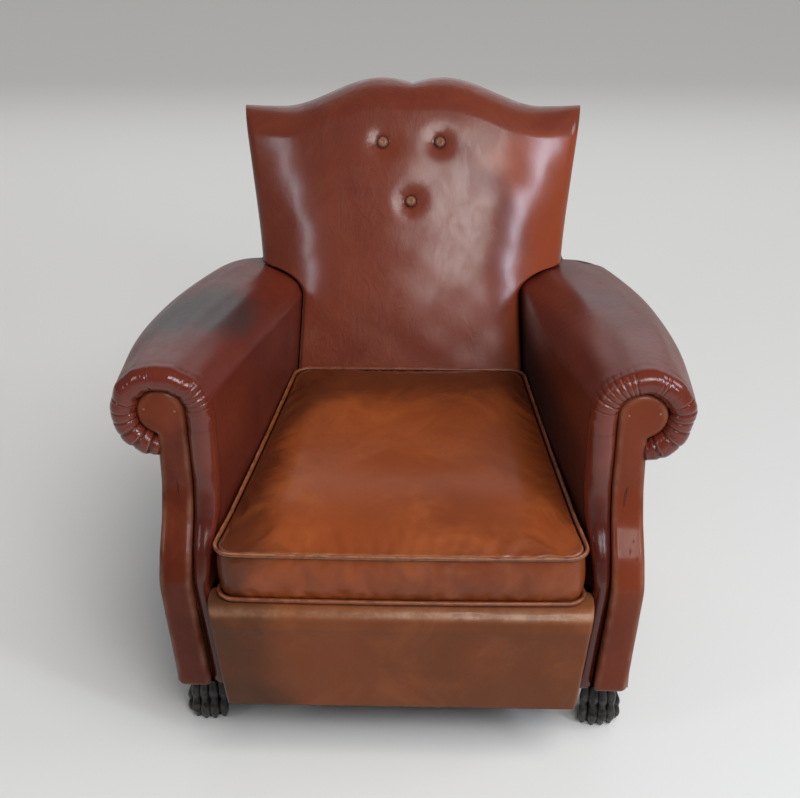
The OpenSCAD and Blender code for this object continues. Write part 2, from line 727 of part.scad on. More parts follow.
// Plan of the seat between the arms, drawn in by a gap
seat_plan_shares = [0, 0.25, 0.5, 0.75, 1];
module seat_plan(gap, rear_y) {
    ys = [for (v = seat_plan_shares) mix(soft_gap - border_back_y, rear_y, v)];
    polygon(concat([for (y = ys) [seat_half(y) - gap, y]], [for (y = reversed(ys)) [gap - seat_half(y), y]]));
}
module spring_hessian() {
    color("tan") translate([0, 0, spring_top_z]) linear_extrude(hessian_t) seat_plan(deck_gap, deck_rear_y);
}
module seat_stuffing() {
    z1 = spring_top_z + hessian_t + soft_gap;
    color("khaki") translate([0, 0, z1])
        linear_extrude(deck_z - leather_t - soft_gap - z1) seat_plan(deck_gap, deck_rear_y);
}
module seat_platform_cover() {
    color("saddlebrown") translate([0, 0, deck_z - leather_t]) linear_extrude(leather_t)
        seat_plan(deck_gap, deck_rear_y);
}

// Front border: depth and height shares of its section, from the foot over the lip to the deck
border_rise = deck_z - border_foot_z;
border_depth = border_front_y - border_back_y;
border_swell_share = 0.2;
border_full_share = 0.5;
border_profile = concat(
    [[border_depth - border_bulge, border_foot_z],
     [border_depth - border_bulge / 4, mix(border_foot_z, deck_z, border_swell_share)],
     [border_depth, mix(border_foot_z, deck_z, border_full_share)], [border_depth, deck_z - lip_r]],
    [for (g = [30, 60, 90]) [border_depth - lip_r + lip_r * cos(g), deck_z - lip_r + lip_r * sin(g)]],
    [[2 * timber_t, deck_z], [border_pad_least + leather_t, deck_z]]
);
// Width share and greatest depth share of the columns, from an end to the middle
border_half_shares = [
    [1, 0], [0.997, 0.66], [0.994, 0.7], [0.99, 0.9], [0.98, 0.97], [0.95, 1], [0.6, 1], [0, 1]
];
border_step_share = 0.68;
border_columns = concat(
    [for (c = border_half_shares) [-c[0], c[1]]],
    [for (i = [len(border_half_shares) - 2:-1:0]) border_half_shares[i]]
);
function border_point(col, p, inset, least) =
    let (depth = min(p[0], border_depth * col[1]) - inset * clamp((deck_z - p[1]) / lip_r, 0, 1))
    let (z = p[1] - inset * clamp((p[1] - deck_z + lip_r) / lip_r, 0, 1))
    let (half = mix(border_foot_half_w, border_top_half_w, (p[1] - border_foot_z) / border_rise))
    let (step = min(p[0], border_depth * col[1]) < border_depth * border_step_share ? border_step : 0)
    [col[0] * (half - step - inset), -border_back_y - max(depth, least), z];
function border_grid(inset, least) =
    [for (p = border_profile) [for (col = border_columns) border_point(col, p, inset, least)]];
function border_base(inset) = [
    for (k = [0:len(border_profile) - 1])
        let (z = mix(border_foot_z, deck_z - 2 * inset, k / (len(border_profile) - 1)))
        let (half = mix(border_foot_half_w, border_top_half_w, (z - border_foot_z) / border_rise))
        [for (col = border_columns)
            [col[0] * (half - border_step - inset), -border_back_y - soft_gap, z]]
];
module front_border_stuffing() {
    color("khaki") between_grids(
        border_base(leather_t + soft_gap), border_grid(leather_t + soft_gap, border_pad_least)
    );
}
module front_border_cover() {
    color("sienna") between_grids(border_grid(leather_t, soft_gap), border_grid(0, soft_gap));
}

// Back build-up
vertical_strap_x = [-upright_half / 2, 0, upright_half / 2];
cross_strap_shares = [0.37, 0.6];
module back_webbing() {
    t1 = rear_rail_t + rail_h / 2;
    color("peru") {
        for (x = vertical_strap_x)
            back_slab(frame_front_w, frame_front_w + webbing_t)
                translate([x - strap_w / 2, t1]) square([strap_w, top_rail_t + strap_w / 2 - t1]);
        for (t = [for (v = cross_strap_shares) mix(waist_t, corner_t, v)])
            back_slab(frame_front_w + webbing_t, frame_front_w + 2 * webbing_t)
                let (reach = back_side(t) - 2 * back_edge_inset)
                translate([-reach, t]) square([2 * reach, strap_w / 2]);
    }
}
module back_hessian() {
    w1 = frame_front_w + 2 * webbing_t + soft_gap;
    low = side_limit(rear_plane_y(foot_h + waist_t), arm_bottom_z) - 3 * arm_clear;
    high = waist_x - back_edge_inset;
    color("tan") back_slab(w1, w1 + hessian_t) polygon([
        [-low, rear_rail_t + rail_h], [low, rear_rail_t + rail_h], [low, waist_t],
        [high, cross_rail_t], [corner_x - 2 * back_edge_inset, top_rail_t],
        [-corner_x + 2 * back_edge_inset, top_rail_t], [-high, cross_rail_t], [-low, waist_t]
    ]);
}
module back_stuffing() {
    inset = leather_t + soft_gap;
    color("khaki") between_grids(
        back_plane_grid(inset, back_lining_w), back_grid(inset, back_lining_w + soft_gap)
    );
}
module inside_back_cover() {
    rear_w = 2 * piping_r + soft_gap;
    color("firebrick") between_grids(back_grid(leather_t, rear_w), back_grid(0, rear_w));
}
module back_buttons() {
    lean = inner_rake;
    color("brown") for (b = button_places) {
        u = b[0] / back_side(b[1]);
        v = (b[1] - back_bottom_t) / (back_top(b[0]) - back_bottom_t);
        w = inner_depth(b[0], b[1], crown_share(u, v));
        translate(raked_point(b[0], b[1], w + button_lift)) rotate([90 - lean, 0, 0])
            rotate_extrude() polygon(concat(
                [[0, 0], [button_r / 2, 0]],
                [for (g = [0:15:90])
                    [button_r / 2 + button_r / 2 * cos(g), button_t / 3 + button_t * 2 / 3 * sin(g)]],
                [[0, button_t]]
            ));
    }
}
module outside_back_cover() {
    color("firebrick") back_slab(0, leather_t) offset(delta = -back_edge_inset) polygon(back_outline);
}
// Normal of the outline at one of its points, pointing inwards
function outline_inset(i, d) =
    let (n = len(back_outline), a = back_outline[max(0, i - 1)], b = back_outline[min(n - 1, i + 1)])
    let (t = (b - a) / norm(b - a))
    back_outline[i] + d * [-t[1], t[0]];
piping_sides = 6;
module back_piping() {
    color("maroon") loft([
        for (i = [0:len(back_outline) - 1]) [
            for (j = [0:piping_sides - 1])
                let (f = -360 * (j + 0.5) / piping_sides)
                let (q = outline_inset(i, piping_r - piping_r * cos(f)))
                raked_point(q[0], q[1], piping_r + piping_r * sin(f))
        ]
    ]);
}

// Arm build-up
arm_strap_shares = [0.16, 0.445, 0.73];
module arm_webbing() {
    d = leather_t + soft_gap + timber_t;
    low = rail_top_z - rail_h / 3;
    color("peru") for (side = [-1, 1]) on_side(side)
        for (y = [for (v = arm_strap_shares) mix(post_rear_y, panel_rear_y, v)])
            side_bar(y, y + strap_w, d, d + webbing_t, low, arm_core_z(y + strap_w) - webbing_t);
}
arm_hessian_shares = [0, 0.31, 0.63, 0.87];
module arm_hessian(side) {
    d = leather_t + soft_gap + timber_t + webbing_t + soft_gap;
    ys = [for (v = arm_hessian_shares) mix(arm_pad_front_y, panel_rear_y, v)];
    color("tan") on_side(side) intersection() {
        side_bar(arm_pad_front_y, panel_rear_y, d, d + hessian_t, 0, far);
        along_x(0, far) polygon(concat(
            [for (y = ys) [y, arm_core_z(y) - webbing_t]],
            [[rear_plane_y(arm_bottom_z) - 2 * timber_t, arm_bottom_z], [arm_pad_front_y, arm_bottom_z]]
        ));
    }
}
// Boundary of the stuffing round the arm's timber, with as many points as the section
function arm_core_point(y, i) =
    let (z1 = roll_under_z(y) + leather_t + soft_gap, z2 = arm_core_z(y) + soft_gap)
    let (x1 = panel_x(y) + soft_gap, x2 = panel_x(y) - leather_t - timber_t - arm_lining - soft_gap)
    i < 4 ? [x1, mix(z1, z2, i / 3)]
    : i < 7 ? [mix(x1, x2, (i - 3) / 4), z2]
    : i <= arm_arc_steps ? [x2, z2 - (i - 7) * webbing_t]
    : [x2, mix(z2 - (arm_arc_steps - 7) * webbing_t, arm_bottom_z, arm_side_shares[i - arm_arc_steps - 1])];
module arm_stuffing(side) {
    inset = leather_t + soft_gap;
    outer = [for (s = arm_shares) arm_points(s, inset, false)];
    inner = [for (s = arm_shares) [
        for (i = [0:arm_count - 1])
            let (z0 = arm_core_point(mix(arm_front_y, panel_rear_y, s), i)[1])
            let (y = mix(arm_pad_front_y, rear_plane_y(z0) - arm_rear_gap, s), q = arm_core_point(y, i))
            [q[0], y, q[1]]
    ]];
    color("khaki") on_side(side) between_grids(outer, inner);
}
module arm_cover(side) {
    outer = concat([arm_points(0, 0, true)], [for (s = arm_shares) arm_points(s, 0, false)]);
    inner = concat([arm_points(0, leather_t, true)], [for (s = arm_shares) arm_points(s, leather_t, false)]);
    color("firebrick") on_side(side) between_grids(outer, inner);
}
panel_top_steps = 6;
module outside_arm_cover(side) {
    ys = [for (i = [0:panel_top_steps]) mix(arm_front_y, panel_rear_y, i / panel_top_steps)];
    color("firebrick") difference() {
        on_side(side) intersection() {
            side_bar(-far, far, 0, leather_t, 0, far);
            along_x(0, far) polygon(concat(
                [for (p = facing_side) if (p[0] < neck_z) [p[1] + facing_t + soft_gap, max(foot_h, p[0])]],
                [[facing_side[len(facing_side) - 1][1] + facing_t + soft_gap, roll_under_z(arm_front_y)]],
                [for (y = ys) [y, roll_under_z(y) - soft_gap]],
                [[rear_plane_y(foot_h), foot_h]]
            ));
        }
        behind_posts(back_edge_inset);
    }
}

// Pleated roll: round the head of the facing, then plain down the facing's inner edge
roll_arc = [for (i = [0:pleats * rings_per_pleat])
    let (g = mix(roll_start_angle, 180, i / (pleats * rings_per_pleat)))
    let (r = roll_r * (1 - pleat_depth_share * (0.5 - 0.5 * cos(360 * i / rings_per_pleat))))
    [scroll_x + (head_r + roll_r) * cos(g), facing_y(scroll_z) + roll_set_back,
     scroll_z + (head_r + roll_r) * sin(g), r, g]];
roll_down_shares = [0.1, 0.2, 0.28, 0.36, 0.44, 0.5, 0.56, 0.62, 0.7, 0.82, 1];
roll_down = [for (u = roll_down_shares)
    let (z = mix(scroll_z, facing_foot_z, u))
    let (r = z > knee_z ? mix(roll_r, roll_knee_r, ease((roll_neck_z - z) / (roll_neck_z - knee_z)))
        : mix(roll_knee_r, roll_foot_r, (knee_z - z) / (knee_z - facing_foot_z)))
    [facing_inner(z) - r - roll_gap, facing_y(z) + roll_set_back, z, r, 180]];
roll_sides = 8;
module pleated_arm_roll(side) {
    color("firebrick") on_side(side) loft([
        for (p = concat(roll_arc, roll_down)) [
            for (j = [0:roll_sides - 1])
                let (f = 360 * j / roll_sides)
                [p[0] + p[3] * cos(f) * cos(p[4]), p[1] + p[3] * sin(f), p[2] + p[3] * cos(f) * sin(p[4])]
        ]
    ]);
}
module arm_facing(side) {
    color("brown") on_side(side) intersection() {
        along_y(-far, far) facing_outline(soft_gap);
        along_x(0, far) facing_band(0, facing_t);
    }
}

// Cushion: a plan with round corners that tapers to the back, with a leaning rear side
cushion_z = deck_z + soft_gap;
function cushion_rear_y(z) =
    inside_back_y(z) - back_crown - cushion_back_gap - 2 * cushion_piping_r - cushion_bow / 3;
function cushion_half(y) = seat_half(y) + cushion_front_flare * ease((arm_front_y - y) / arm_flare_len)
    - cushion_gap - 2 * cushion_piping_r;
corner_steps = 3;
side_steps = 3;
// Plan point list at a rear place, counter-clockwise from the middle of the front
function cushion_plan(rear_y) =
    let (r = cushion_corner_r, fy = -cushion_front_y + 2 * cushion_piping_r, n = corner_steps)
    let (half = concat(
        [[0, fy - cushion_bow], [cushion_half(fy) / 2, fy - cushion_bow * 0.75]],
        [for (i = [0:n]) let (g = -90 + 90 * i / n)
            [cushion_half(fy + r) - r + r * cos(g), fy + r + r * sin(g)]],
        [for (i = [1:side_steps - 1]) let (y = mix(fy + r, rear_y - r, i / side_steps)) [cushion_half(y), y]],
        [for (i = [0:n]) let (g = 90 * i / n)
            [cushion_half(rear_y - r) - r + r * cos(g), rear_y - r + r * sin(g)]],
        [[cushion_half(rear_y) / 2, rear_y + cushion_bow / 4]]
    ))
    concat(half, [[0, rear_y + cushion_bow / 3]], [for (i = [len(half) - 1:-1:1]) [-half[i][0], half[i][1]]]);
function cushion_h(y) =
    mix(cushion_front_h, cushion_rear_h, (y + cushion_front_y) / (inner_back_y + cushion_front_y));
// Ring of the cushion: height share 0 at the lower seam and 1 at the upper, drawn in towards the middle
function cushion_ring(v, k, inset, rise) =
    let (plan0 = cushion_plan(cushion_rear_y(cushion_z)), plan1 = cushion_plan(cushion_rear_y(inner_back_z)))
    let (mid = [0, (cushion_rear_y(inner_back_z) - cushion_front_y) / 2], n = len(plan0))
    let (plan = [for (i = [0:n - 1]) mix(plan0[i], plan1[i], v)])
    [for (i = [0:n - 1])
        let (along = plan[(i + 1) % n] - plan[(i + n - 1) % n], out = [along[1], -along[0]] / norm(along))
        let (x = mid + (plan[i] - mid) * k - out * inset)
        [x[0], x[1], cushion_z + cushion_piping_r + v * (cushion_h(x[1]) - 2 * cushion_piping_r) + rise]];
cushion_crown_shares = [[1, 0], [0.95, 0.38], [0.84, 0.7], [0.56, 0.95], [0.02, 1.02]];
cushion_side_shares = [[0, 0], [0.2, 0.7], [0.5, 1], [0.8, 0.7], [1, 0]];
function cushion_top_rings(inset) =
    let (v = 1 - inset / (cushion_front_h - 2 * cushion_piping_r))
    [for (c = cushion_crown_shares) cushion_ring(v, c[0], inset, c[1] * cushion_crown)];
cushion_base_shares = [[0.02, 1], [0.94, 1], [1, 0]];
function cushion_bottom_rings(inset) =
    [for (c = cushion_base_shares) cushion_ring(0, c[0], inset, inset - c[1] * cushion_piping_r)];
function cushion_side_rings(inset) = [
    for (c = cushion_side_shares)
        if (c[1] > 0) cushion_ring(c[0], 1, inset - cushion_bulge * c[1], 0)
];
function reversed(list) = [for (i = [len(list) - 1:-1:0]) list[i]];
module cushion_top_cover() {
    color("peru") loft(concat(reversed(cushion_top_rings(leather_t)), cushion_top_rings(0)));
}
module cushion_boxing() {
    low = (leather_t + 2 * soft_gap) / (cushion_front_h - 2 * cushion_piping_r);
    levels = [for (c = cushion_side_shares) clamp(c[0], low, 1 - low)];
    color("peru") loft(concat(
        [for (v = levels) cushion_ring(v, 1, -cushion_bulge * between(cushion_side_shares, v), 0)],
        [for (v = reversed(levels))
            cushion_ring(v, 1, leather_t - cushion_bulge * between(cushion_side_shares, v), 0)]
    ), closed = true);
}
module cushion_bottom_cover() {
    color("saddlebrown") loft(concat(cushion_bottom_rings(0), reversed(cushion_bottom_rings(leather_t))));
}
module cushion_filling() {
    inset = leather_t + soft_gap;
    color("khaki") loft(concat(
        cushion_bottom_rings(inset), cushion_side_rings(inset), cushion_top_rings(inset)
    ));
}
// Piping round a seam of the cushion: a closed tube just outside it
module cushion_piping(v) {
    path = cushion_ring(v, 1, -cushion_piping_r - soft_gap, 0);
    n = len(path);
    color("tan") loft([
        for (i = [0:n - 1])
            let (a = path[(i + n - 1) % n], b = path[(i + 1) % n], t = (b - a) / norm(b - a))
            [for (j = [0:piping_sides - 1])
                let (f = -360 * (j + 0.5) / piping_sides, r = cushion_piping_r)
                path[i] + [t[1] * r * cos(f), -t[0] * r * cos(f), r * sin(f)]]
    ], closed = true);
}

// Dust cover under the frame, with its tacks
tack_xs = [for (i = [-5:2:5]) i * lengthwise_pitch / 2];
tack_ys = [for (y = crosswise_y) y + crosswise_pitch / 2];
tack_places = concat(
    [for (x = tack_xs) [x, front_rail_y + timber_t / 2]],
    [for (side = [-1, 1]) for (y = tack_ys) [side * (panel_x(y) - leather_t - timber_t / 2), y]],
    [for (x = tack_xs) [x, rear_plane_y(rail_bottom_z) - timber_t * 0.6]]
);
dust_cover_z = foot_h;
module tack_set(extra) {
    for (p = tack_places) translate([p[0], p[1], dust_cover_z - tack_head_t]) {
        cylinder(r = tack_head_r, h = tack_head_t);
        cylinder(r = tack_shank_r + extra, h = tack_len + extra);
    }
}
module dust_cover() {
    x1 = post_inner_x - soft_gap;
    inset = 2 * leather_t;
    y1 = front_rail_y + leather_t;
    y2 = post_rear_y + soft_gap;
    y3 = rear_plane_y(foot_h) - timber_t * 1.2;
    y4 = rear_plane_y(foot_h) - 2 * leather_t;
    x2 = rear_rail_half - soft_gap;
    color("dimgray") difference() {
        translate([0, 0, dust_cover_z]) linear_extrude(dust_cover_t) polygon([
            [-x1, y1], [x1, y1], [x1, y2], [panel_x(y2) - inset, y2], [panel_x(y3) - inset, y3],
            [x2, y3], [x2, y4], [-x2, y4], [-x2, y3], [inset - panel_x(y3), y3],
            [inset - panel_x(y2), y2], [-x1, y2]
        ]);
        tack_set(dowel_gap);
    }
}
module dust_cover_tacks() {
    color("gray") tack_set(0);
}

front_seat_rail();
rear_seat_rail();
side_seat_rail(-1);  // side_seat_rail_left
side_seat_rail(1);  // side_seat_rail_right
arm_front_post(-1);  // arm_front_post_left
arm_front_post(1);  // arm_front_post_right
rear_corner_post(-1);  // rear_corner_post_left
rear_corner_post(1);  // rear_corner_post_right
arm_top_rail(-1);  // arm_top_rail_left
arm_top_rail(1);  // arm_top_rail_right
back_upright(-1);  // back_upright_left
back_upright(1);  // back_upright_right
back_cross_rail();
back_side_rail(-1);  // back_side_rail_left
back_side_rail(1);  // back_side_rail_right
back_top_rail();
corner_blocks();
frame_dowels();
foot_dowels();
front_paw_foot(-1);  // front_paw_foot_left
front_paw_foot(1);  // front_paw_foot_right
rear_foot(-1);  // rear_foot_left
rear_foot(1);  // rear_foot_right
seat_webbing();
seat_springs();
spring_hessian();
seat_stuffing();
seat_platform_cover();
front_border_stuffing();
front_border_cover();
back_webbing();
back_hessian();
back_stuffing();
inside_back_cover();
back_buttons();
outside_back_cover();
back_piping();
arm_webbing();
arm_hessian(-1);  // arm_hessian_left
arm_hessian(1);  // arm_hessian_right
arm_stuffing(-1);  // arm_stuffing_left
arm_stuffing(1);  // arm_stuffing_right
arm_cover(-1);  // arm_cover_left
arm_cover(1);  // arm_cover_right
outside_arm_cover(-1);  // outside_arm_cover_left
outside_arm_cover(1);  // outside_arm_cover_right
pleated_arm_roll(-1);  // pleated_arm_roll_left
pleated_arm_roll(1);  // pleated_arm_roll_right
arm_facing(-1);  // arm_facing_left
arm_facing(1);  // arm_facing_right
cushion_top_cover();
cushion_boxing();
cushion_bottom_cover();
cushion_piping(1);  // cushion_piping_top
cushion_piping(0);  // cushion_piping_bottom
cushion_filling();
dust_cover();
dust_cover_tacks();
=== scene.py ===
"""Looks of a leather club chair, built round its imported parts.

Lengths are metres, X runs across the chair, Y from its front to its back and Z up. Each soft
piece is a grid of points worked out from the chair's own curves: the arm's oval section, the
leaning back, the tapering cushion and the boards that face the arms.
"""

import json
import math

import bmesh
import bpy
import numpy as np
from mathutils import Matrix, Vector


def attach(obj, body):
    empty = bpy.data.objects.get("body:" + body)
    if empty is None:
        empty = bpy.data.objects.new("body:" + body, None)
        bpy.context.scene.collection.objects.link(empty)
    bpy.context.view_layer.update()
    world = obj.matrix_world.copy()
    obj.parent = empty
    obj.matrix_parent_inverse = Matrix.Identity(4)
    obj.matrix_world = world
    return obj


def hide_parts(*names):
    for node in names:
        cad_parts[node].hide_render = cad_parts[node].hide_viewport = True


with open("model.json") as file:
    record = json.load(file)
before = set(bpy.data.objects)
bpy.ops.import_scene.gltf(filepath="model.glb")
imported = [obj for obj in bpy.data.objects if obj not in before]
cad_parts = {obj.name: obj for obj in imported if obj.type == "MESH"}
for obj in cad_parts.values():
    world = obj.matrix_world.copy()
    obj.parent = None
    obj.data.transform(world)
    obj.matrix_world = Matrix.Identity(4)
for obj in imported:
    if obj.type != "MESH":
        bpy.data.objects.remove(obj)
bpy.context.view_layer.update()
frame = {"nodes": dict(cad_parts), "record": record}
nodes = frame["nodes"]

SIDES = {"left": -1, "right": 1}

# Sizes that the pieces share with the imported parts. T is a distance up the outside back's plane
# and W a distance in front of it.
SCROLL_X, SCROLL_Z, SCROLL_R, HEAD_R = 0.343, 0.560, 0.076, 0.036
ROLL_R = (SCROLL_R - HEAD_R) / 2
BACK_BASE_Y, FOOT_H = 0.2418, 0.105
OUTER_RAKE, INNER_RAKE = math.radians(13.8), math.radians(23.85)
CORNER_X, CORNER_T, HUMP_X, HUMP_T = 0.3075, 0.725, 0.056, 0.774
NOTCH_T, TROUGH_X, TROUGH_T, WAIST_X, WAIST_T = 0.764, 0.237, 0.723, 0.275, 0.4334
BACK_BOTTOM_T, BACK_CROWN, BACK_REAR_W, TOP_ROLL_H = 0.151, 0.006, 0.0086, 0.058
INNER_BACK_Y, INNER_BACK_Z = 0.147, 0.405
BUTTONS, DIMPLE_DEPTH = [(-0.051, 0.661), (0.051, 0.661), (0.0, 0.558)], 0.0070
PANEL_TOP_Y, PANEL_REAR_GAP, DECK_Z, WALL_FOOT_Z = 0.334, 0.0092, 0.287, 0.210
FACING_FOOT_Z, FACING_HEAD_R, FACING_GAP = 0.1075, 0.0357, 0.0003
FACING_SIDE = [(0.107, -0.384), (0.190, -0.3875), (0.265, -0.3936), (0.310, -0.395),
               (0.350, -0.378), (0.390, -0.345), (0.440, -0.327), (0.560, -0.327), (0.600, -0.327)]
# Place across, height and size of the chips in each facing's leather
FACING_MARKS = {"left": [(0.352, 0.290, 0.0018)],
                "right": [(0.340, 0.372, 0.0020), (0.334, 0.361, 0.0024), (0.344, 0.353, 0.0016)]}
BORDER_FRONT_Y, BORDER_BACK_Y, BORDER_FOOT_Z = -0.425, -0.340, 0.107
CUSHION_FRONT_Y, CUSHION_Z, CUSHION_CROWN, CUSHION_CORNER_R = -0.408, 0.2873, 0.018, 0.022
SEAT_GAP, PIPING_ROOM = 0.0025, 0.009


# Plain functions of numbers or whole arrays

def mix(a, b, v):
    """The value a share v of the way from a to b."""
    return a + (b - a) * v


def ease(v):
    """A smooth step: 0 below 0, 1 above 1, and 3v2 - 2v3 between."""
    v = np.clip(v, 0.0, 1.0)
    return v * v * (3 - 2 * v)


def bump(v, width):
    """A bell of height 1 at 0 that falls off over a width."""
    return np.exp(-(v / width) ** 2)


def waves(seed, *places, scale=10.0, count=7):
    """A soft irregular field between about -1 and 1: sines in fixed directions, each finer."""
    rng = np.random.default_rng(seed)
    total, weight = 0.0, 0.0
    for k in range(count):
        way = rng.normal(size=len(places))
        way /= np.linalg.norm(way)
        phase = rng.uniform(0, 2 * math.pi)
        part = 1 / (1 + 0.5 * k)
        gone = sum(w * p for w, p in zip(way, places))
        total = total + part * np.sin(scale * (1 + 0.45 * k) * gone + phase)
        weight += part * 0.7
    return total / weight


def smooth_table(rows, radius):
    """A table of [place, value] rows as a function, its corners rounded over a radius."""
    places = np.linspace(rows[0][0] - 4 * radius, rows[-1][0] + 4 * radius, 800)
    values = np.interp(places, [r[0] for r in rows], [r[1] for r in rows])
    step = places[1] - places[0]
    reach = max(1, int(3 * radius / step))
    kernel = bump(np.arange(-reach, reach + 1) * step, radius)
    soft = np.convolve(np.pad(values, reach, mode="edge"), kernel / kernel.sum(), mode="valid")
    return lambda v: np.interp(v, places, soft)


def unit(ways):
    """Directions brought to length one."""
    return ways / np.linalg.norm(ways, axis=-1, keepdims=True)


def circle(count):
    """Angles once round in equal steps."""
    return np.linspace(0, 2 * math.pi, count, endpoint=False)


def repeated(values, count):
    """One value for each row, the same in all of its columns."""
    return np.repeat(values[:, None], count, 1)


def evenly(x, y, count, closed=False):
    """The line through given points as a count of points in equal steps along it."""
    if closed:
        x, y = np.append(x, x[0]), np.append(y, y[0])
    gone = np.concatenate([[0], np.cumsum(np.hypot(np.diff(x), np.diff(y)))])
    even = np.linspace(0, gone[-1], count, endpoint=not closed)
    return np.interp(even, gone, x), np.interp(even, gone, y)


def turned_columns(count, flat, flat_share):
    """Columns from -1 to 1 whose two ends turn through a quarter circle: the place of each
    across the width, and its angle. Those nearer than flat don't turn and take up flat_share."""
    q = np.linspace(-1, 1, count)
    turn = np.clip((np.abs(q) - flat) / (1 - flat), 0, 1) * math.pi / 2
    share = np.where(np.abs(q) < flat, np.abs(q) / flat * flat_share,
                     flat_share + (1 - flat_share) * np.sin(turn))
    return share * np.sign(q), turn


facing_y = smooth_table(FACING_SIDE, 0.010)
facing_outer = smooth_table([(0.107, 0.347), (0.302, 0.357), (0.525, 0.352)], 0.012)
facing_inner = smooth_table([(0.107, 0.295), (0.302, 0.308), (0.440, 0.307)], 0.012)


def rear_plane_y(z):
    """Y of the outside back's plane at a height."""
    return BACK_BASE_Y + (z - FOOT_H) * math.tan(OUTER_RAKE)


def grid(x, y, z):
    """Points from three places, each a number or an array, spread out to one shape."""
    return np.stack(np.broadcast_arrays(x, y, z), -1)


def raked(x, t, w):
    """Point at x, a distance t up the outside back's plane and w in front of it."""
    return grid(x, BACK_BASE_Y + t * math.sin(OUTER_RAKE) - w * math.cos(OUTER_RAKE),
                FOOT_H + t * math.cos(OUTER_RAKE) + w * math.sin(OUTER_RAKE))


# The arm's section along the chair

def along_arm(start, slope, curve):
    """A size as a quadratic in the place along the arm, which is 0 at its scroll."""
    def size(y):
        s = (y + 0.320) / 0.600
        return start + slope * s + curve * s ** 2
    return size


arm_outer = along_arm(SCROLL_X + SCROLL_R, 0.0554, -0.0795)
seat_half = along_arm(SCROLL_X - SCROLL_R, -0.0825, 0.0086)
arm_mid_z = along_arm(SCROLL_Z, -0.0185, -0.0415)
arm_half_h = along_arm(SCROLL_R, -0.0455, 0.0157)


def panel_x(y):
    """Distance of the outer side panel from the chair's middle."""
    return mix(0.352, 0.325, (y + 0.380) / (PANEL_TOP_Y + 0.380))


def arm_half_w(y):
    return (arm_outer(y) - seat_half(y)) / 2


def arm_mid_x(y):
    return (arm_outer(y) + seat_half(y)) / 2


def under_angle(y):
    """Angle under the roll where its leather meets the outer side panel."""
    return -np.arccos(np.clip((panel_x(y) + 0.0025 - arm_mid_x(y)) / arm_half_w(y), -1, 1))


# Meshes

def finish_mesh(name, points, faces, attributes=None, merge=None):
    """Puts whole arrays of points and quads or triangles into a smooth-shaded mesh object."""
    mesh = bpy.data.meshes.new(name)
    mesh.from_pydata(points.tolist(), [], faces)
    for key, values in (attributes or {}).items():
        layer = mesh.attributes.new(key, "FLOAT", "POINT")
        layer.data.foreach_set("value", np.asarray(values, np.float32).ravel())
    if merge:
        work = bmesh.new()
        work.from_mesh(mesh)
        bmesh.ops.remove_doubles(work, verts=work.verts, dist=merge)
        bmesh.ops.dissolve_degenerate(work, edges=work.edges, dist=merge / 10)
        work.to_mesh(mesh)
        work.free()
    mesh.polygons.foreach_set("use_smooth", np.ones(len(mesh.polygons), bool))
    mesh.validate()
    mesh.update()
    piece = bpy.data.objects.new(name, mesh)
    bpy.context.scene.collection.objects.link(piece)
    return piece


def ring_faces(rows, cols, closed):
    """Quads between neighbouring rings, and from the last ring to the first where closed."""
    r, c = np.meshgrid(np.arange(rows if closed else rows - 1), np.arange(cols), indexing="ij")
    r2, c2 = (r + 1) % rows, (c + 1) % cols
    quads = np.stack([r * cols + c, r * cols + c2, r2 * cols + c2, r2 * cols + c], -1)
    return quads.reshape(-1, 4)


def volume(points, groups):
    """Six times the signed volume inside a closed mesh, from its groups of quads or triangles."""
    total = 0.0
    for f in groups:
        for k in range(1, f.shape[1] - 1):
            a, b, c = points[f[:, 0]], points[f[:, k]], points[f[:, k + 1]]
            total += np.einsum("ij,ij->i", a, np.cross(b, c)).sum()
    return total


def filled(values, shape):
    """Values of a grid's first columns, with zeros in the columns after them."""
    grid = np.zeros(shape)
    grid[:, :values.shape[1]] = values
    return grid.ravel()


def loft_parts(rings, attributes=None, closed=False, last_fan=True):
    """Points, faces and attributes of a closed surface through rings of equally many points, its
    ends fanned to their middles or the last ring joined to the first; a last ring whose points
    meet in pairs needs no fan. It is turned so that its faces point outwards."""
    rows, cols = rings.shape[:2]
    points = rings.reshape(-1, 3)
    quads, tris = ring_faces(rows, cols, closed), np.zeros((0, 3), int)
    attributes = {k: filled(v, (rows, cols)) for k, v in (attributes or {}).items()}
    if not closed:
        n, i = len(points), np.arange(cols)
        j = (i + 1) % cols
        fans = [np.stack([np.full(cols, n), j, i], -1)]
        ends = [slice(cols)]
        if last_fan:
            fans.append(np.stack([np.full(cols, n + 1), n - cols + i, n - cols + j], -1))
            ends.append(slice(n - cols, n))
        tris = np.vstack(fans)
        attributes = {k: np.append(v, [v[end].mean() for end in ends])
                      for k, v in attributes.items()}
        points = np.vstack([points] + [points[end].mean(0) for end in ends])
    if volume(points, [quads, tris]) < 0:
        quads, tris = quads[:, ::-1], tris[:, ::-1]
    return points, quads.tolist() + tris.tolist(), attributes


def loft(name, rings, attributes=None, closed=False, merge=None, last_fan=True):
    """One mesh object through rings of points."""
    points, faces, attributes = loft_parts(rings, attributes, closed, last_fan)
    return finish_mesh(name, points, faces, attributes, merge)


def lofts(name, parts):
    """One mesh object from several closed surfaces, each a pair of rings and attributes."""
    points, faces, attributes, start = [], [], {}, 0
    for rings, held in parts:
        p, f, a = loft_parts(rings, held)
        points.append(p)
        faces += [[i + start for i in face] for face in f]
        for key, v in a.items():
            attributes.setdefault(key, []).append(v)
        start += len(p)
    return finish_mesh(name, np.vstack(points), faces,
                       {k: np.concatenate(v) for k, v in attributes.items()})


def mirrored(grid, sign):
    """The grid of points on the chair's right, or on its left for sign -1."""
    return grid * np.array([sign, 1.0, 1.0])


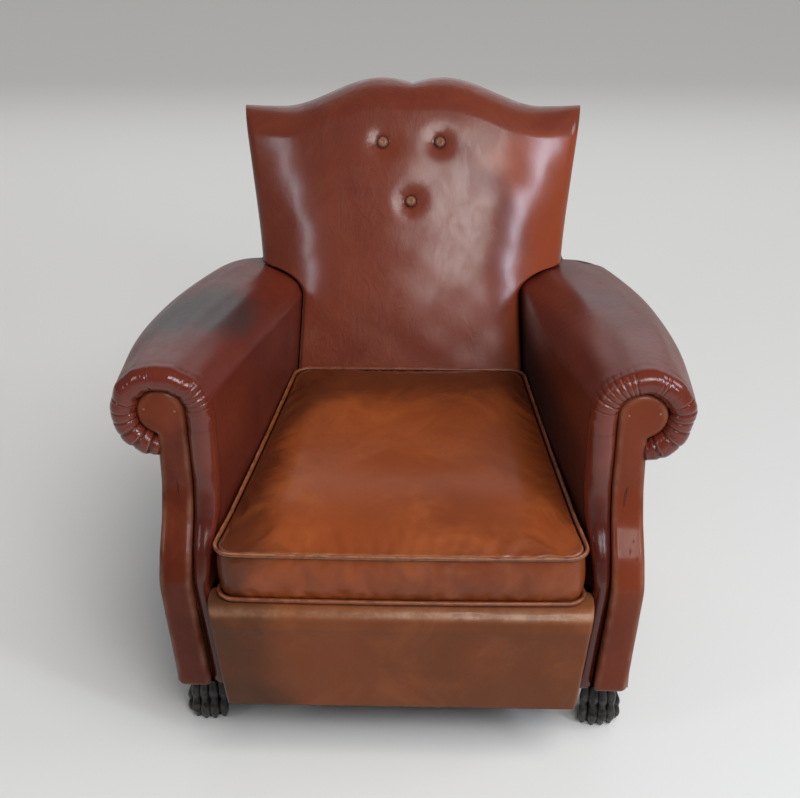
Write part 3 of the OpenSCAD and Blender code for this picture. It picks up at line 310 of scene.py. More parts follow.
def round_rings(path, radius, side, up, sides):
    """Rings of points round a path, each in the plane of two directions at its place."""
    turn = circle(sides)[None, :, None]
    r = np.broadcast_to(radius, (len(path),))[:, None, None]
    return path[:, None] + r * np.cos(turn) * side[:, None] + r * np.sin(turn) * up[:, None]


def tube_rings(path, radius, sides, closed=True):
    """Rings of a round tube along a path, each square to the path's direction and level with the
    ground where it can be."""
    after = np.roll(path, -1, 0)
    before = np.roll(path, 1, 0)
    if not closed:
        after[-1], before[0] = path[-1], path[0]
    along = unit(after - before)
    side = np.cross(along, [0.0, 0.0, 1.0])
    lengths = np.linalg.norm(side, axis=1)[:, None]
    side = np.where(lengths > 0.5, side / np.maximum(lengths, 1e-9), [1.0, 0.0, 0.0])
    side = unit(side - (side * along).sum(1)[:, None] * along)
    return round_rings(path, radius, side, np.cross(side, along), sides)


# Shader maths as plain expressions

class Value:
    """A shader socket that takes part in sums, differences and products."""

    def __init__(self, finish, socket):
        self.finish, self.socket = finish, socket

    def _math(self, operation, first, second):
        return self.finish.node("Math", {"operation": operation}, [first, second])

    def __add__(self, other):
        return self._math("ADD", self, other)

    def __sub__(self, other):
        return self._math("SUBTRACT", self, other)

    def __rsub__(self, other):
        return self._math("SUBTRACT", other, self)

    def __mul__(self, other):
        return self._math("MULTIPLY", self, other)

    def clipped(self):
        """The value kept between 0 and 1."""
        return self.finish.node("Clamp", {}, [self])

    def band(self, low, high):
        """A smooth step from 0 at low to 1 at high."""
        return self.finish.node("MapRange", {"interpolation_type": "SMOOTHSTEP"},
                                {"Value": self, "From Min": low, "From Max": high})


class Finish:
    """One material and the nodes that it is made of."""

    def __init__(self, name):
        self.material = bpy.data.materials.new(name)
        self.material.use_nodes = True
        self.tree = self.material.node_tree
        self.tree.nodes.clear()
        self.place = None

    def node(self, kind, settings, inputs=(), output=0):
        """Adds a node, sets its settings and its sockets by place or name, and gives an output."""
        made = self.tree.nodes.new("ShaderNode" + kind)
        for key, value in settings.items():
            setattr(made, key, value)
        pairs = inputs.items() if isinstance(inputs, dict) else enumerate(inputs)
        for key, value in pairs:
            if value is None:
                continue
            socket = made.inputs[key]
            if isinstance(value, Value):
                self.tree.links.new(value.socket, socket)
            else:
                socket.default_value = (*value, 1.0) if socket.type == "RGBA" else value
        return Value(self, made.outputs[output])

    def coords(self, up=None):
        """Object coordinates, with their heights multiplied by up."""
        if self.place is None:
            self.place = self.node("TexCoord", {}, output="Object")
        if up is None:
            return self.place
        return self.node("Mapping", {}, {"Vector": self.place, "Scale": (1.0, 1.0, up)})

    def noise(self, scale, detail=3.0, rough=0.55, at=None, distort=0.0):
        """Soft noise between about 0.2 and 0.8."""
        return self.node("TexNoise", {},
                         {"Vector": at or self.coords(), "Scale": scale, "Detail": detail,
                          "Roughness": rough, "Distortion": distort}, output="Fac")

    def cells(self, scale, feature="F1", at=None):
        """Distance to the nearest cell point, or to the nearest border between cells."""
        return self.node("TexVoronoi", {"feature": feature},
                         {"Vector": at or self.coords(), "Scale": scale}, output="Distance")

    def held(self, name):
        """A value that the mesh holds at its points."""
        return self.node("Attribute", {"attribute_name": name}, output="Fac")

    def blend(self, share, a, b):
        """Colour a share of the way from a to b."""
        return self.node("Mix", {"data_type": "RGBA"}, {0: share, 6: a, 7: b}, output=2)

    def relief(self, height, strength, distance, under=None):
        """Bump from a height."""
        return self.node("Bump", {}, {"Height": height, "Strength": strength,
                                                "Distance": distance, "Normal": under})

    def surface(self, sockets):
        """The material's one surface shader."""
        shader = self.node("BsdfPrincipled", {}, sockets, output="BSDF")
        out = self.tree.nodes.new("ShaderNodeOutputMaterial")
        self.tree.links.new(shader.socket, out.inputs["Surface"])
        return self.material


def leather(name, base, dark, light, patina_and_painted_light=None, patina_and_painted_light_share=0.0, gloss=0.34, grain=1.0,
            worn_and_lit=(0.46, 0.27, 0.17), mottle=0.35, shine=0.22, wax=0.42, crinkle=0.0,
            wax_rough=0.16):
    """Aged polished leather: a base colour that drifts to a darker and a lighter one in soft
    patches, painted shade in creases and other shaded places, dark chips, pale rubbed edges and
    painted highlights, age-darkened patches and painted light and shade where the mesh places
    them, a fine grain of cells and a waxy coat."""
    f = Finish(name)
    drift = f.noise(2.6, 3.0, 0.55, distort=0.4).band(0.34, 0.68)
    patches = f.noise(7.5, 5.0, 0.62, distort=0.7).band(0.42, 0.70)
    specks = f.noise(110.0, 3.0, 0.6).band(0.48, 0.78)
    colour = f.blend(drift * 0.6, base, dark)
    colour = f.blend(patches * mottle, colour, light)
    colour = f.blend(specks * 0.12, colour, dark)
    stains = f.noise(21.0, 6.0, 0.7).band(0.60, 0.74)
    colour = f.blend(stains * 0.16, colour, tuple(0.5 * c for c in dark))
    # Patina on the arms and their side panels; elsewhere this colour is painted light on the back
    # and painted shade on the facings, border and cushion, where the mesh places it.
    if patina_and_painted_light:
        blotches = f.noise(8.0, 6.0, 0.70, distort=1.0)
        cover = (f.held("patina_and_painted_light") * 1.3 + blotches * 1.2 - 1.0).band(0.0, 0.75)
        colour = f.blend(cover * patina_and_painted_light_share, colour, patina_and_painted_light)
    # The first held value darkens with painted shade in creases, seams, recesses and shadowed
    # places, and with real chips; the second pales with wear and painted highlights.
    shade_and_chips = f.held("shade_and_chips").clipped()
    wear_and_highlight = (f.held("wear_and_highlight") * (f.noise(38.0, 5.0, 0.7).band(0.38, 0.62) * 0.5 + 0.5)).clipped()
    colour = f.blend(shade_and_chips * 0.85, colour, tuple(0.16 * c for c in dark))
    colour = f.blend(wear_and_highlight * 0.8, colour, worn_and_lit)
    shift = f.node("TexNoise", {}, {"Vector": f.coords(), "Scale": 30.0}, output="Color")
    shifted = f.node("VectorMath", {"operation": "ADD"}, [f.coords(), shift])
    cracks = 1 - f.cells(95.0, "DISTANCE_TO_EDGE", at=shifted).band(0.0, 0.06)
    gate = f.noise(7.0, 3.0, 0.6).band(0.50, 0.70)
    creased = f.relief(cracks * gate, 0.14 * grain, 0.0005)
    grained = f.relief(f.cells(640.0), 0.16 * grain, 0.0003, creased)
    dappled = f.relief(f.noise(150.0, 3.0, 0.55), 0.13 * grain, 0.0012, grained)
    pulled = f.relief(f.noise(34.0, 4.0, 0.55), 0.20 * grain, 0.0028, dappled)
    if crinkle:
        wrinkles = f.noise(42.0, 6.0, 0.66, at=f.coords(0.34), distort=1.8)
        where = f.noise(5.0, 2.0, 0.5).band(0.35, 0.65)
        pulled = f.relief(wrinkles * where, crinkle, 0.0030, pulled)
    rough = (drift * 0.06 + specks * 0.08 + shade_and_chips * 0.3 + wear_and_highlight * 0.10 + gate * 0.04
             + (gloss - 0.04)).clipped() * (1 - f.held("polish").clipped() * 0.68)
    streaks = f.noise(24.0, 4.0, 0.6, at=f.coords(0.4), distort=1.0).band(0.35, 0.65)
    coat = ((1 - shade_and_chips) * (streaks * 0.45 * wax + 0.80 * wax)).clipped()
    return f.surface({"Base Color": colour, "Roughness": rough, "Normal": pulled,
                      "Specular IOR Level": shine, "Coat Weight": coat,
                      "Coat Roughness": wax_rough, "Coat IOR": 1.5})


def cloth(name, base, dark, scale):
    """Plain woven cloth: threads both ways from two sine bands, with uneven dye."""
    f = Finish(name)
    warp, weft = (f.node("TexWave", {"wave_type": "BANDS", "bands_direction": way},
                         {"Vector": f.coords(), "Scale": scale / 6.283, "Distortion": 0.6},
                         output="Fac") for way in "XY")
    colour = f.blend(f.noise(14.0, 4.0, 0.6), base, dark)
    colour = f.blend((1 - warp * weft) * 0.4, colour, dark)
    return f.surface({"Base Color": colour, "Roughness": 0.85, "Sheen Weight": 0.2,
                      "Normal": f.relief(warp * weft, 0.5, 0.0005)})


def timber(name, base, dark, rough=0.45, coat=0.0):
    """Wood whose grain runs up Z: stretched noise for the rings and pores."""
    f = Finish(name)
    rings = f.noise(26.0, 5.0, 0.6, at=f.coords(0.12), distort=1.0).band(0.35, 0.65)
    pores = f.noise(420.0, 3.0, 0.6, at=f.coords(0.05)).band(0.5, 0.62)
    colour = f.blend(rings, base, dark)
    colour = f.blend(pores * 0.5, colour, tuple(0.4 * c for c in dark))
    return f.surface({"Base Color": colour, "Roughness": rings * 0.1 + rough, "Coat Weight": coat,
                      "Coat Roughness": 0.2, "Normal": f.relief(pores, 0.3, 0.0004)})


def carved(name, base, dark, worn_and_lit):
    """Dark polished carving, dull in its hollows and black there with painted shade, and paler on
    its ridges from rubbing and painted highlights.
    """
    f = Finish(name)
    hollow = f.held("shade_and_chips").clipped()
    rubbed_and_lit = (f.held("wear_and_highlight") * f.noise(120.0, 4.0, 0.6).band(0.35, 0.6)).clipped()
    colour = f.blend(f.noise(60.0, 4.0, 0.6), base, dark)
    colour = f.blend(hollow, colour, tuple(0.3 * c for c in dark))
    colour = f.blend(rubbed_and_lit * 0.8, colour, worn_and_lit)
    return f.surface({"Base Color": colour, "Roughness": hollow * 0.4 + 0.28, "Coat Weight": 0.15,
                      "Coat Roughness": 0.2, "Specular IOR Level": 0.15,
                      "Normal": f.relief(f.noise(320.0, 4.0, 0.6), 0.3, 0.0006)})


def metal(name, base):
    """Plain worn wire or tack metal."""
    f = Finish(name)
    tone = f.blend(f.noise(80.0, 4.0, 0.6), base, tuple(0.6 * c for c in base))
    rough = f.noise(40.0) * 0.2 + 0.4
    return f.surface({"Base Color": tone, "Metallic": 0.9, "Roughness": rough})


def stitched(name, base, dark, worn_and_lit):
    """Piping leather: what the mesh holds shows as pale spots along the cord, scuffs and painted
    highlights.
    """
    f = Finish(name)
    tone = f.blend(f.noise(45.0, 5.0, 0.65, distort=0.5).band(0.36, 0.64), base, dark)
    rubbed_and_lit = (f.held("wear_and_highlight") * f.noise(70.0, 5.0, 0.7).band(0.36, 0.58)).clipped()
    tone = f.blend(rubbed_and_lit * 0.85, tone, worn_and_lit)
    rough = rubbed_and_lit * 0.12 + f.noise(30.0) * 0.1 + 0.33
    bumps = f.relief(f.noise(300.0, 4.0, 0.6), 0.25, 0.0005)
    return f.surface({"Base Color": tone, "Roughness": rough, "Normal": bumps,
                      "Coat Weight": 0.2, "Coat Roughness": 0.25})


# Colours are linear light
# The back's lighter patina colour is painted light over its right side and high on its face.
back_leather = leather(
    "back_leather", (0.150, 0.027, 0.012), (0.092, 0.016, 0.009), (0.205, 0.050, 0.022),
    patina_and_painted_light=(0.270, 0.050, 0.014), patina_and_painted_light_share=0.70, gloss=0.36, crinkle=0.7, wax=0.55,
    wax_rough=0.19, shine=0.12)
button_leather = leather(
    "button_leather", (0.115, 0.024, 0.011), (0.060, 0.014, 0.008), (0.190, 0.055, 0.026),
    gloss=0.24, shine=0.10, wax=0.25, wax_rough=0.10)
arm_leather = leather(
    "arm_leather", (0.120, 0.018, 0.009), (0.070, 0.011, 0.007), (0.160, 0.030, 0.013),
    patina_and_painted_light=(0.030, 0.019, 0.019), patina_and_painted_light_share=0.85, gloss=0.40, crinkle=0.15, shine=0.42,
    wax=0.18, wax_rough=0.24)
# The facing's patina colour paints shade over the left facing.
facing_leather = leather(
    "facing_leather", (0.155, 0.028, 0.009), (0.100, 0.018, 0.008), (0.200, 0.042, 0.014),
    patina_and_painted_light=(0.055, 0.009, 0.004), patina_and_painted_light_share=0.8, shine=0.08, wax=0.20)
# The border's patina colour paints shade towards its left end and its foot.
border_leather = leather(
    "border_leather", (0.155, 0.040, 0.012), (0.095, 0.029, 0.010), (0.220, 0.064, 0.018),
    patina_and_painted_light=(0.050, 0.018, 0.008), patina_and_painted_light_share=0.8, mottle=0.5, shine=0.10, wax=0.20)
# The cushion's patina colour paints shade on its left side, its rear and its underside.
cushion_leather = leather(
    "cushion_leather", (0.225, 0.048, 0.012), (0.120, 0.026, 0.009), (0.320, 0.082, 0.021),
    patina_and_painted_light=(0.050, 0.013, 0.006), patina_and_painted_light_share=0.75, mottle=0.5, shine=0.13, wax=0.32,
    wax_rough=0.20)
# The piping's pale colour is scuffing and painted highlight.
piping_leather = stitched(
    "piping_leather", (0.170, 0.040, 0.012), (0.110, 0.026, 0.009), (0.440, 0.210, 0.090))
dark_piping = stitched(
    "dark_piping", (0.030, 0.014, 0.012), (0.016, 0.010, 0.009), (0.110, 0.050, 0.036))
# The paws' pale colour marks rubbed knuckles and their painted highlights.
paw_finish = carved(
    "paw_finish", (0.012, 0.009, 0.008), (0.005, 0.004, 0.004), (0.060, 0.052, 0.050))
beech = timber("beech", (0.50, 0.33, 0.18), (0.38, 0.23, 0.12), 0.6)
dark_wood = timber("dark_wood", (0.050, 0.026, 0.016), (0.020, 0.012, 0.009), 0.35, 0.3)
jute = cloth("jute", (0.36, 0.25, 0.13), (0.24, 0.15, 0.07), 900.0)
platform_cloth = cloth("platform_cloth", (0.085, 0.040, 0.024), (0.050, 0.024, 0.015), 1600.0)
black_cloth = cloth("black_cloth", (0.022, 0.021, 0.021), (0.012, 0.012, 0.012), 2400.0)
calico = cloth("calico", (0.55, 0.50, 0.40), (0.45, 0.40, 0.31), 1500.0)
spring_wire = metal("spring_wire", (0.42, 0.30, 0.22))
tack_steel = metal("tack_steel", (0.06, 0.06, 0.08))


def place(piece, finish, slot, *replaces, body="chair"):
    """Gives a piece its material and its body, and hides the nodes it stands for; its record slot
    is not used.
    """
    piece.data.materials.append(finish)
    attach(piece, body)
    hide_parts(*replaces)


# Camera at the photograph's viewing angle

def make_camera():
    """Camera worked out from the photograph: place, yaw, pitch, roll and focal length."""
    yaw, pitch, roll = math.radians(-2.10), math.radians(27.99), math.radians(-0.46)
    focal_pixels, width_pixels = 1242.5, 800
    forward = Vector((math.sin(yaw) * math.cos(pitch), math.cos(yaw) * math.cos(pitch),
                      -math.sin(pitch)))
    right = Vector((math.cos(yaw), -math.sin(yaw), 0.0))
    down = forward.cross(right)
    across = math.cos(roll) * right - math.sin(roll) * down
    up = -(math.sin(roll) * right + math.cos(roll) * down)
    data = bpy.data.cameras.new("photo_camera")
    data.sensor_width = 36.0
    data.lens = 36.0 * focal_pixels / width_pixels
    camera = bpy.data.objects.new("photo_camera", data)
    camera.matrix_world = Matrix.Translation((0.056, -1.869, 1.407)) @ Matrix(
        (across, up, -forward)).transposed().to_4x4()
    bpy.context.scene.collection.objects.link(camera)
    bpy.context.scene.camera = camera


make_camera()


# Arms: leather over the roll, down the seat side and round the pleated front

# Angles round the scroll, strengths and widths in degrees of the gathers, from the underside up
GATHERS = {
    "left": [(-72, 1.0, 3.2), (-50, 0.9, 2.6), (-30, 0.8, 2.4), (-12, 0.55, 1.6), (2, 0.5, 1.4),
             (20, 0.35, 1.2), (78, 0.45, 1.1), (112, 0.16, 0.8), (126, 0.18, 0.9), (139, 0.35, 1.1),
             (147, 0.42, 1.1), (155, 0.5, 1.2), (163, 0.45, 1.1), (171, 0.4, 1.1)],
    "right": [(-66, 1.0, 3.0), (-40, 0.75, 2.2), (-18, 0.6, 1.8), (-4, 0.5, 1.5), (10, 0.5, 1.5),
              (24, 0.35, 1.2), (62, 0.5, 1.2), (68, 0.3, 1.0), (104, 0.6, 1.3), (112, 0.4, 1.0),
              (120, 0.65, 1.2), (129, 0.7, 1.2), (137, 0.45, 1.1), (146, 0.6, 1.2), (155, 0.7, 1.3),
              (168, 0.5, 1.3)],
}


# Heights and strengths of the small gathers down the seat side of the roll
WALL_GATHERS = ((0.548, 0.4), (0.535, 0.3), (0.517, 0.25), (0.352, 0.5), (0.338, 0.35),
                (0.327, 0.55), (0.316, 0.3))


def gather_lines(turn, side):
    """Depth of the gathers round the scroll at an angle."""
    depth = 0 * turn
    for a, strength, width in GATHERS[side]:
        depth = np.maximum(depth, strength * bump(turn - a, width))
    return depth


def arm_leather_piece(side):
    """The arm's section is an oval from the outer panel over the top to the seat side, then a
    wall down to the deck. Rows run forward along it, then turn round the front in a half
    circle whose radius is the roll's; gathers press into that turn."""
    sign = SIDES[side]
    turn_n, wall_n, length_n, lip_n = 250, 90, 76, 30
    shares = np.concatenate([np.linspace(0, 1, turn_n), np.linspace(0, 1, wall_n + 1)[1:]])
    on_wall = np.arange(len(shares)) >= turn_n
    on_roll = ~on_wall
    wall = np.where(on_wall, shares, 0.0)
    z_rear = np.where(on_wall, mix(0.490, WALL_FOOT_Z, wall),
                      0.4905 + 0.045 * np.sin(np.radians(mix(-75, 180, shares))))
    z_front = np.where(on_wall, mix(SCROLL_Z, FACING_FOOT_Z, wall), SCROLL_Z)
    y_rear = rear_plane_y(z_rear) - PANEL_REAR_GAP
    y_lip = facing_y(z_front) + np.interp(z_front, [0.107, 0.30, 0.36, 0.47, 0.56],
                                          [0.024, 0.020, 0.017, 0.011, 0.008])
    along = 1 - (1 - np.linspace(0, 1, length_n)[:, None]) ** 1.35
    y = mix(y_rear, y_lip, along)
    turn = mix(np.degrees(under_angle(y)), 180.0, np.where(on_wall, 1.0, shares))
    z_mid = arm_mid_z(y)
    z_wall = mix(mix(z_mid, WALL_FOOT_Z, wall), mix(SCROLL_Z, FACING_FOOT_Z, wall),
                 ease((along - 0.7) / 0.3))
    swell = (0.0016 * waves(31 + sign, y, turn / 57.0, scale=9.0, count=4)
             - 0.0025 * ease((-0.12 - y) / 0.16))
    radians = np.radians(turn)
    x = arm_mid_x(y) + (arm_half_w(y) + swell) * np.cos(radians)
    z = np.where(on_wall, z_wall, z_mid + (arm_half_h(y) + swell) * np.sin(radians))
    wall_r = np.interp(z[-1], [0.107, 0.302, 0.345, 0.400, 0.440],
                       [0.0135, 0.0115, 0.014, 0.019, 0.020])
    turn_r = (ROLL_R - 0.0012) * mix(0.72, 1.0, ease((turn[-1] + 84) / 18))
    roll_r = np.where(on_wall, wall_r, turn_r)
    x_lip = np.where(on_wall, facing_inner(z[-1]) - 2 * roll_r, x[-1])
    to_lip = np.where(on_wall, ease((-0.300 - y) / (-0.300 - y_lip + 1e-9)), 0.0)
    x = mix(x, x_lip, to_lip)
    out_x = np.where(on_wall, -1.0, np.cos(radians[-1]))
    out_z = np.where(on_wall, 0.0, np.sin(radians[-1]))

    # The turn round the front, and two rows tucked in behind the facing
    lip = np.radians(np.append(np.linspace(0, 180, lip_n + 1)[1:], [180, 180]))[:, None]
    tuck = np.append(np.zeros(lip_n), [0.005, 0.012])[:, None]
    all_x = np.vstack([x, x[-1] - out_x * roll_r * (1 - np.cos(lip))])
    all_y = np.vstack([y, y[-1] - roll_r * np.sin(lip) + tuck])
    all_z = np.vstack([z, z[-1] - out_z * roll_r * (1 - np.cos(lip))])
    bend = np.vstack([np.zeros_like(along), lip])
    behind = np.vstack([y - y_lip, np.zeros((len(lip), len(shares)))])
    gather = np.where(on_wall, sum(k * bump(z[-1] - h, 0.0012) for h, k in WALL_GATHERS),
                      gather_lines(turn[-1], side))
    outer = ease((40 - turn[-1]) / 50) * on_roll
    strength = np.where(bend > 0, mix(mix(0.55, 0.7, outer), 1.0, ease(bend / 1.5)),
                        0.55 * np.exp(-behind / mix(0.010, 0.020, outer)))
    press = gather * strength
    fine = waves(5 + sign, turn[-1] * 0.3, scale=2.6, count=9) * on_roll
    puff = 0.0005 * (1 - gather) * strength * on_roll + 0.00022 * fine * strength
    groove = 0.0010 * bump(behind - 0.013, 0.006) * on_roll * (bend == 0)
    out = grid(out_x * np.cos(bend), -np.sin(bend), out_z * np.cos(bend))
    points = grid(all_x, all_y, all_z)
    points += out * (puff - mix(0.0022, 0.0018, outer) * press)[..., None]
    points -= out * groove[..., None]

    # The right arm's top is rubbed along its whole length, the left one's in its middle
    all_turn = np.vstack([turn, np.repeat(turn[-1:], len(lip), 0)])
    top = np.where(on_wall, 0.0, np.clip(np.sin(np.radians(all_turn)), 0, 1))
    rub = 0.80 * bump(all_y + 0.06, 0.13) if sign < 0 else 0.22 * bump(all_y - 0.02, 0.22)
    patina_and_painted_light = top * (0.30 + rub) * np.where(bend > 0, 0.45, 1.0) + np.where(on_wall, 0.18, 0.0)
    # Beside each gather the roll is rubbed pale, with a painted highlight on that side.
    edge = sum(0.5 * k * bump(turn[-1] - a - 1.5 * w, 0.55) for a, k, w in GATHERS[side])
    wear_and_highlight = np.clip(edge * on_roll * (bend > 0.5) * (bend < 2.2), 0, 1)
    # Painted shade in the gathers and in the recess low down behind the facing.
    recess = ease((0.50 - all_z) / 0.10) * ease((behind + 0.020) / 0.020) * on_wall
    shade_and_chips = np.maximum(np.clip(press * 0.75, 0, 1), 0.55 * recess * (bend > 0.9))
    # Painted shadow low on the seat side of the arm, deep on the right arm and faint on the left.
    shade = ((1.0 if sign > 0 else 0.22) * ease((0.530 - all_z) / 0.08)
             * mix(0.45, 1.0, ease((all_y + 0.30) / 0.34)))
    shade_and_chips = np.maximum(shade_and_chips, shade * on_wall * (bend == 0))
    polish = ease(bend / 0.5) * np.ones_like(all_y)

    # The way back, inside the arm, closes each row into a ring
    core_y = np.maximum(all_y[:, [-1, -1, 0, 0]],
                        facing_y(np.array([0.11, 0.45, 0.5, 0.5])) + 0.019)
    core_x = [0.322, 0.322, 0.330, 0.348]
    core_z = np.stack(np.broadcast_arrays(all_z[:, -1], 0.45, 0.50, all_z[:, 0] + 0.004), -1)
    rings = np.concatenate([points, grid(core_x, core_y, core_z)], 1)
    piece = loft(f"arm_leather_{side}", mirrored(rings, sign),
                 {"patina_and_painted_light": patina_and_painted_light, "shade_and_chips": shade_and_chips, "wear_and_highlight": wear_and_highlight, "polish": polish})
    place(piece, arm_leather, "arm_leather",
          f"arm_cover_{side}", f"arm_stuffing_{side}", f"pleated_arm_roll_{side}")


for side in SIDES:
    arm_leather_piece(side)


# Back

def back_top(x, notch_t=NOTCH_T):
    """Height of the back's upper edge: a notch between two humps, a trough, then a rise to the
    corner."""
    u = np.abs(x)
    middle = HUMP_T - (HUMP_T - notch_t) * (1 - np.clip(u / HUMP_X, 0, 1)) ** 2
    slope = mix(HUMP_T, TROUGH_T, ease((u - HUMP_X) / (TROUGH_X - HUMP_X)))
    corner = mix(TROUGH_T, CORNER_T, np.clip((u - TROUGH_X) / (CORNER_X - TROUGH_X), 0, 2) ** 2)
    return np.where(u < HUMP_X, middle, np.where(u < TROUGH_X, slope, corner))


def back_side(t):
    """Half width of the back at a height up its plane."""
    return mix(WAIST_X, CORNER_X, (np.maximum(0, t - WAIST_T) / (CORNER_T - WAIST_T)) ** 1.25)


def inner_plane(t):
    """Depth of the inside back in front of the outside back's plane."""
    m, s, c = math.tan(INNER_RAKE), math.sin(OUTER_RAKE), math.cos(OUTER_RAKE)
    gap = BACK_BASE_Y - INNER_BACK_Y + m * (INNER_BACK_Z - FOOT_H)
    return (gap + t * (s - m * c)) / (c + m * s)


def side_limit(y, z):
    """Half width left between the arms at a place."""
    b = arm_half_h(y) + 0.003
    h = (z - arm_mid_z(y)) / b
    a = arm_half_w(y) + 0.003
    open_top = arm_mid_x(y) - a * np.sqrt(np.clip(1 - h * h, 0, 1))
    return np.where(h <= 0, arm_mid_x(y) - a, np.where(h < 1, open_top, 2 * CORNER_X))


def room(t, w):
    """Half width that the arms leave at a place in front of the outside back's plane."""
    at = raked(0.0, t, w)
    return side_limit(at[..., 1], at[..., 2])


def dimples(x, t):
    """How far the buttons draw the leather in: a soft cone at each, a tight ring under the
    button's rim, and hair-fine folds that run out from it."""
    depth, folds, ring = 0.0, 0.0, 0.0
    for k, (bx, bt) in enumerate(BUTTONS):
        dx, dt = x - bx, t - bt
        r = np.sqrt(dx * dx + dt * dt)
        angle = np.arctan2(dt, dx)
        depth = np.maximum(depth, DIMPLE_DEPTH * np.clip(1 - r / 0.050, 0, 1) ** 2.6)
        ring = np.maximum(ring, bump(r - 0.0102, 0.0016))
        rng = np.random.default_rng(5 + k)
        for a, length in zip(rng.uniform(-math.pi, math.pi, 16), rng.uniform(0.014, 0.040, 16)):
            off = np.abs(np.angle(np.exp(1j * (angle - a)))) * r
            reach = ease((r - 0.010) / 0.006) * ease((length - r) / 0.016)
            folds = folds + bump(off, 0.0012 + 0.04 * r) * reach
    return depth, folds, ring


def side_bow(x, t):
    """How far the inside back lies behind its middle: the cube of the place across, as a share
    of a half width that narrows towards the seat, times a depth that is least at the seat."""
    width = mix(0.215, 0.305, ease((t - 0.30) / 0.42))
    depth = mix(0.012, 0.042, ease((t - 0.22) / 0.30)) - 0.008 * ease((t - 0.50) / 0.20)
    return depth * np.abs(x / width) ** 3


def back_piece():
    """Rows climb the back and columns cross it. The middle stands in front of the sides by the
    bow, and the leather's own crown is added to it. The sides turn back in a quarter circle, the
    top in a quarter of an ellipse that reaches the timber's plane at the upper edge, and each
    row closes along that plane."""
    u, turn_u = turned_columns(220, 0.84, 0.95)
    climbing, rolled = 0.84, 0.16
    rows = np.linspace(0, 1, 210)[:, None]
    turn_v = np.clip((rows - climbing) / rolled, 0, 1) * math.pi / 2
    edge_x = u * back_side(mix(BACK_BOTTOM_T, CORNER_T, rows))
    top = mix(back_top(edge_x, HUMP_T - 0.001), back_top(edge_x), np.sin(turn_v) ** 7)
    roll_share = TOP_ROLL_H / (top - BACK_BOTTOM_T)
    v = np.where(rows < climbing, rows / climbing * (1 - roll_share),
                 1 - roll_share * (1 - np.sin(turn_v)))
    t = mix(BACK_BOTTOM_T, top, v)
    w = inner_plane(t) - 0.010
    # The half width depends on the depth and the depth on the half width, so both settle
    for _ in range(5):
        flat_x = u * np.minimum(back_side(t), room(t, w))
        inward = 1 - (flat_x / 0.30) ** 2
        crown = BACK_CROWN * inward * (1 - (2 * v - 1) ** 2) + 0.004 * inward
        w = inner_plane(t) + crown - side_bow(flat_x, t)
    depth, folds, ring = dimples(flat_x, t)
    swell = (0.0008 * waves(71, flat_x, t, scale=13.0, count=5)
             + 0.0005 * waves(72, flat_x, t, scale=38.0, count=5))
    turned_back = 0.011 * (1 - np.cos(turn_u))
    w = w - depth - 0.00022 * folds - 0.0012 * ring + swell - turned_back
    w = BACK_REAR_W + (w - BACK_REAR_W) * np.cos(turn_v)
    limit = room(t, w)
    half = np.minimum(back_side(t), limit)
    x = u * half
    walls = [np.stack([raked(x[:, c], t[:, c], mix(BACK_REAR_W, w[:, c], s))
                       for s in (0.75, 0.5, 0.25, 0.0)], 1) for c in (-1, 0)]
    rear = raked(x[:, ::-1], t[:, ::-1], BACK_REAR_W)[:, 1:-1]
    rings = np.concatenate([raked(x, t, w), walls[0], rear, walls[1][:, ::-1]], 1)
    by_arm = limit < back_side(t)
    from_edge = (np.abs(u) - 1) * half
    # Painted shade in the folds, in a ring under each button's rim and along the edges where the
    # back meets the arms.
    shade_and_chips = np.maximum(np.clip(0.10 * folds + 0.95 * ring, 0, 1),
                        0.9 * bump(from_edge, 0.006) * by_arm)
    # A thin painted highlight along the left edge, where the back meets the arm.
    seam_highlight = 0.5 * bump(from_edge + 0.0035, 0.0012) * by_arm * (u < 0)
    # Painted light: a lighter colour over the right side of the face and in a band high up it.
    glow = (0.85 * ease((flat_x - 0.10) / 0.14) * ease((0.72 - t) / 0.10)
            + 0.35 * bump(t - 0.64, 0.05))
    piece = loft("inside_back_leather", rings, {"shade_and_chips": shade_and_chips, "wear_and_highlight": seam_highlight, "patina_and_painted_light": glow},
                 merge=0.00002, last_fan=False)
    place(piece, back_leather, "back_leather", "inside_back_cover", "back_stuffing")


back_piece()


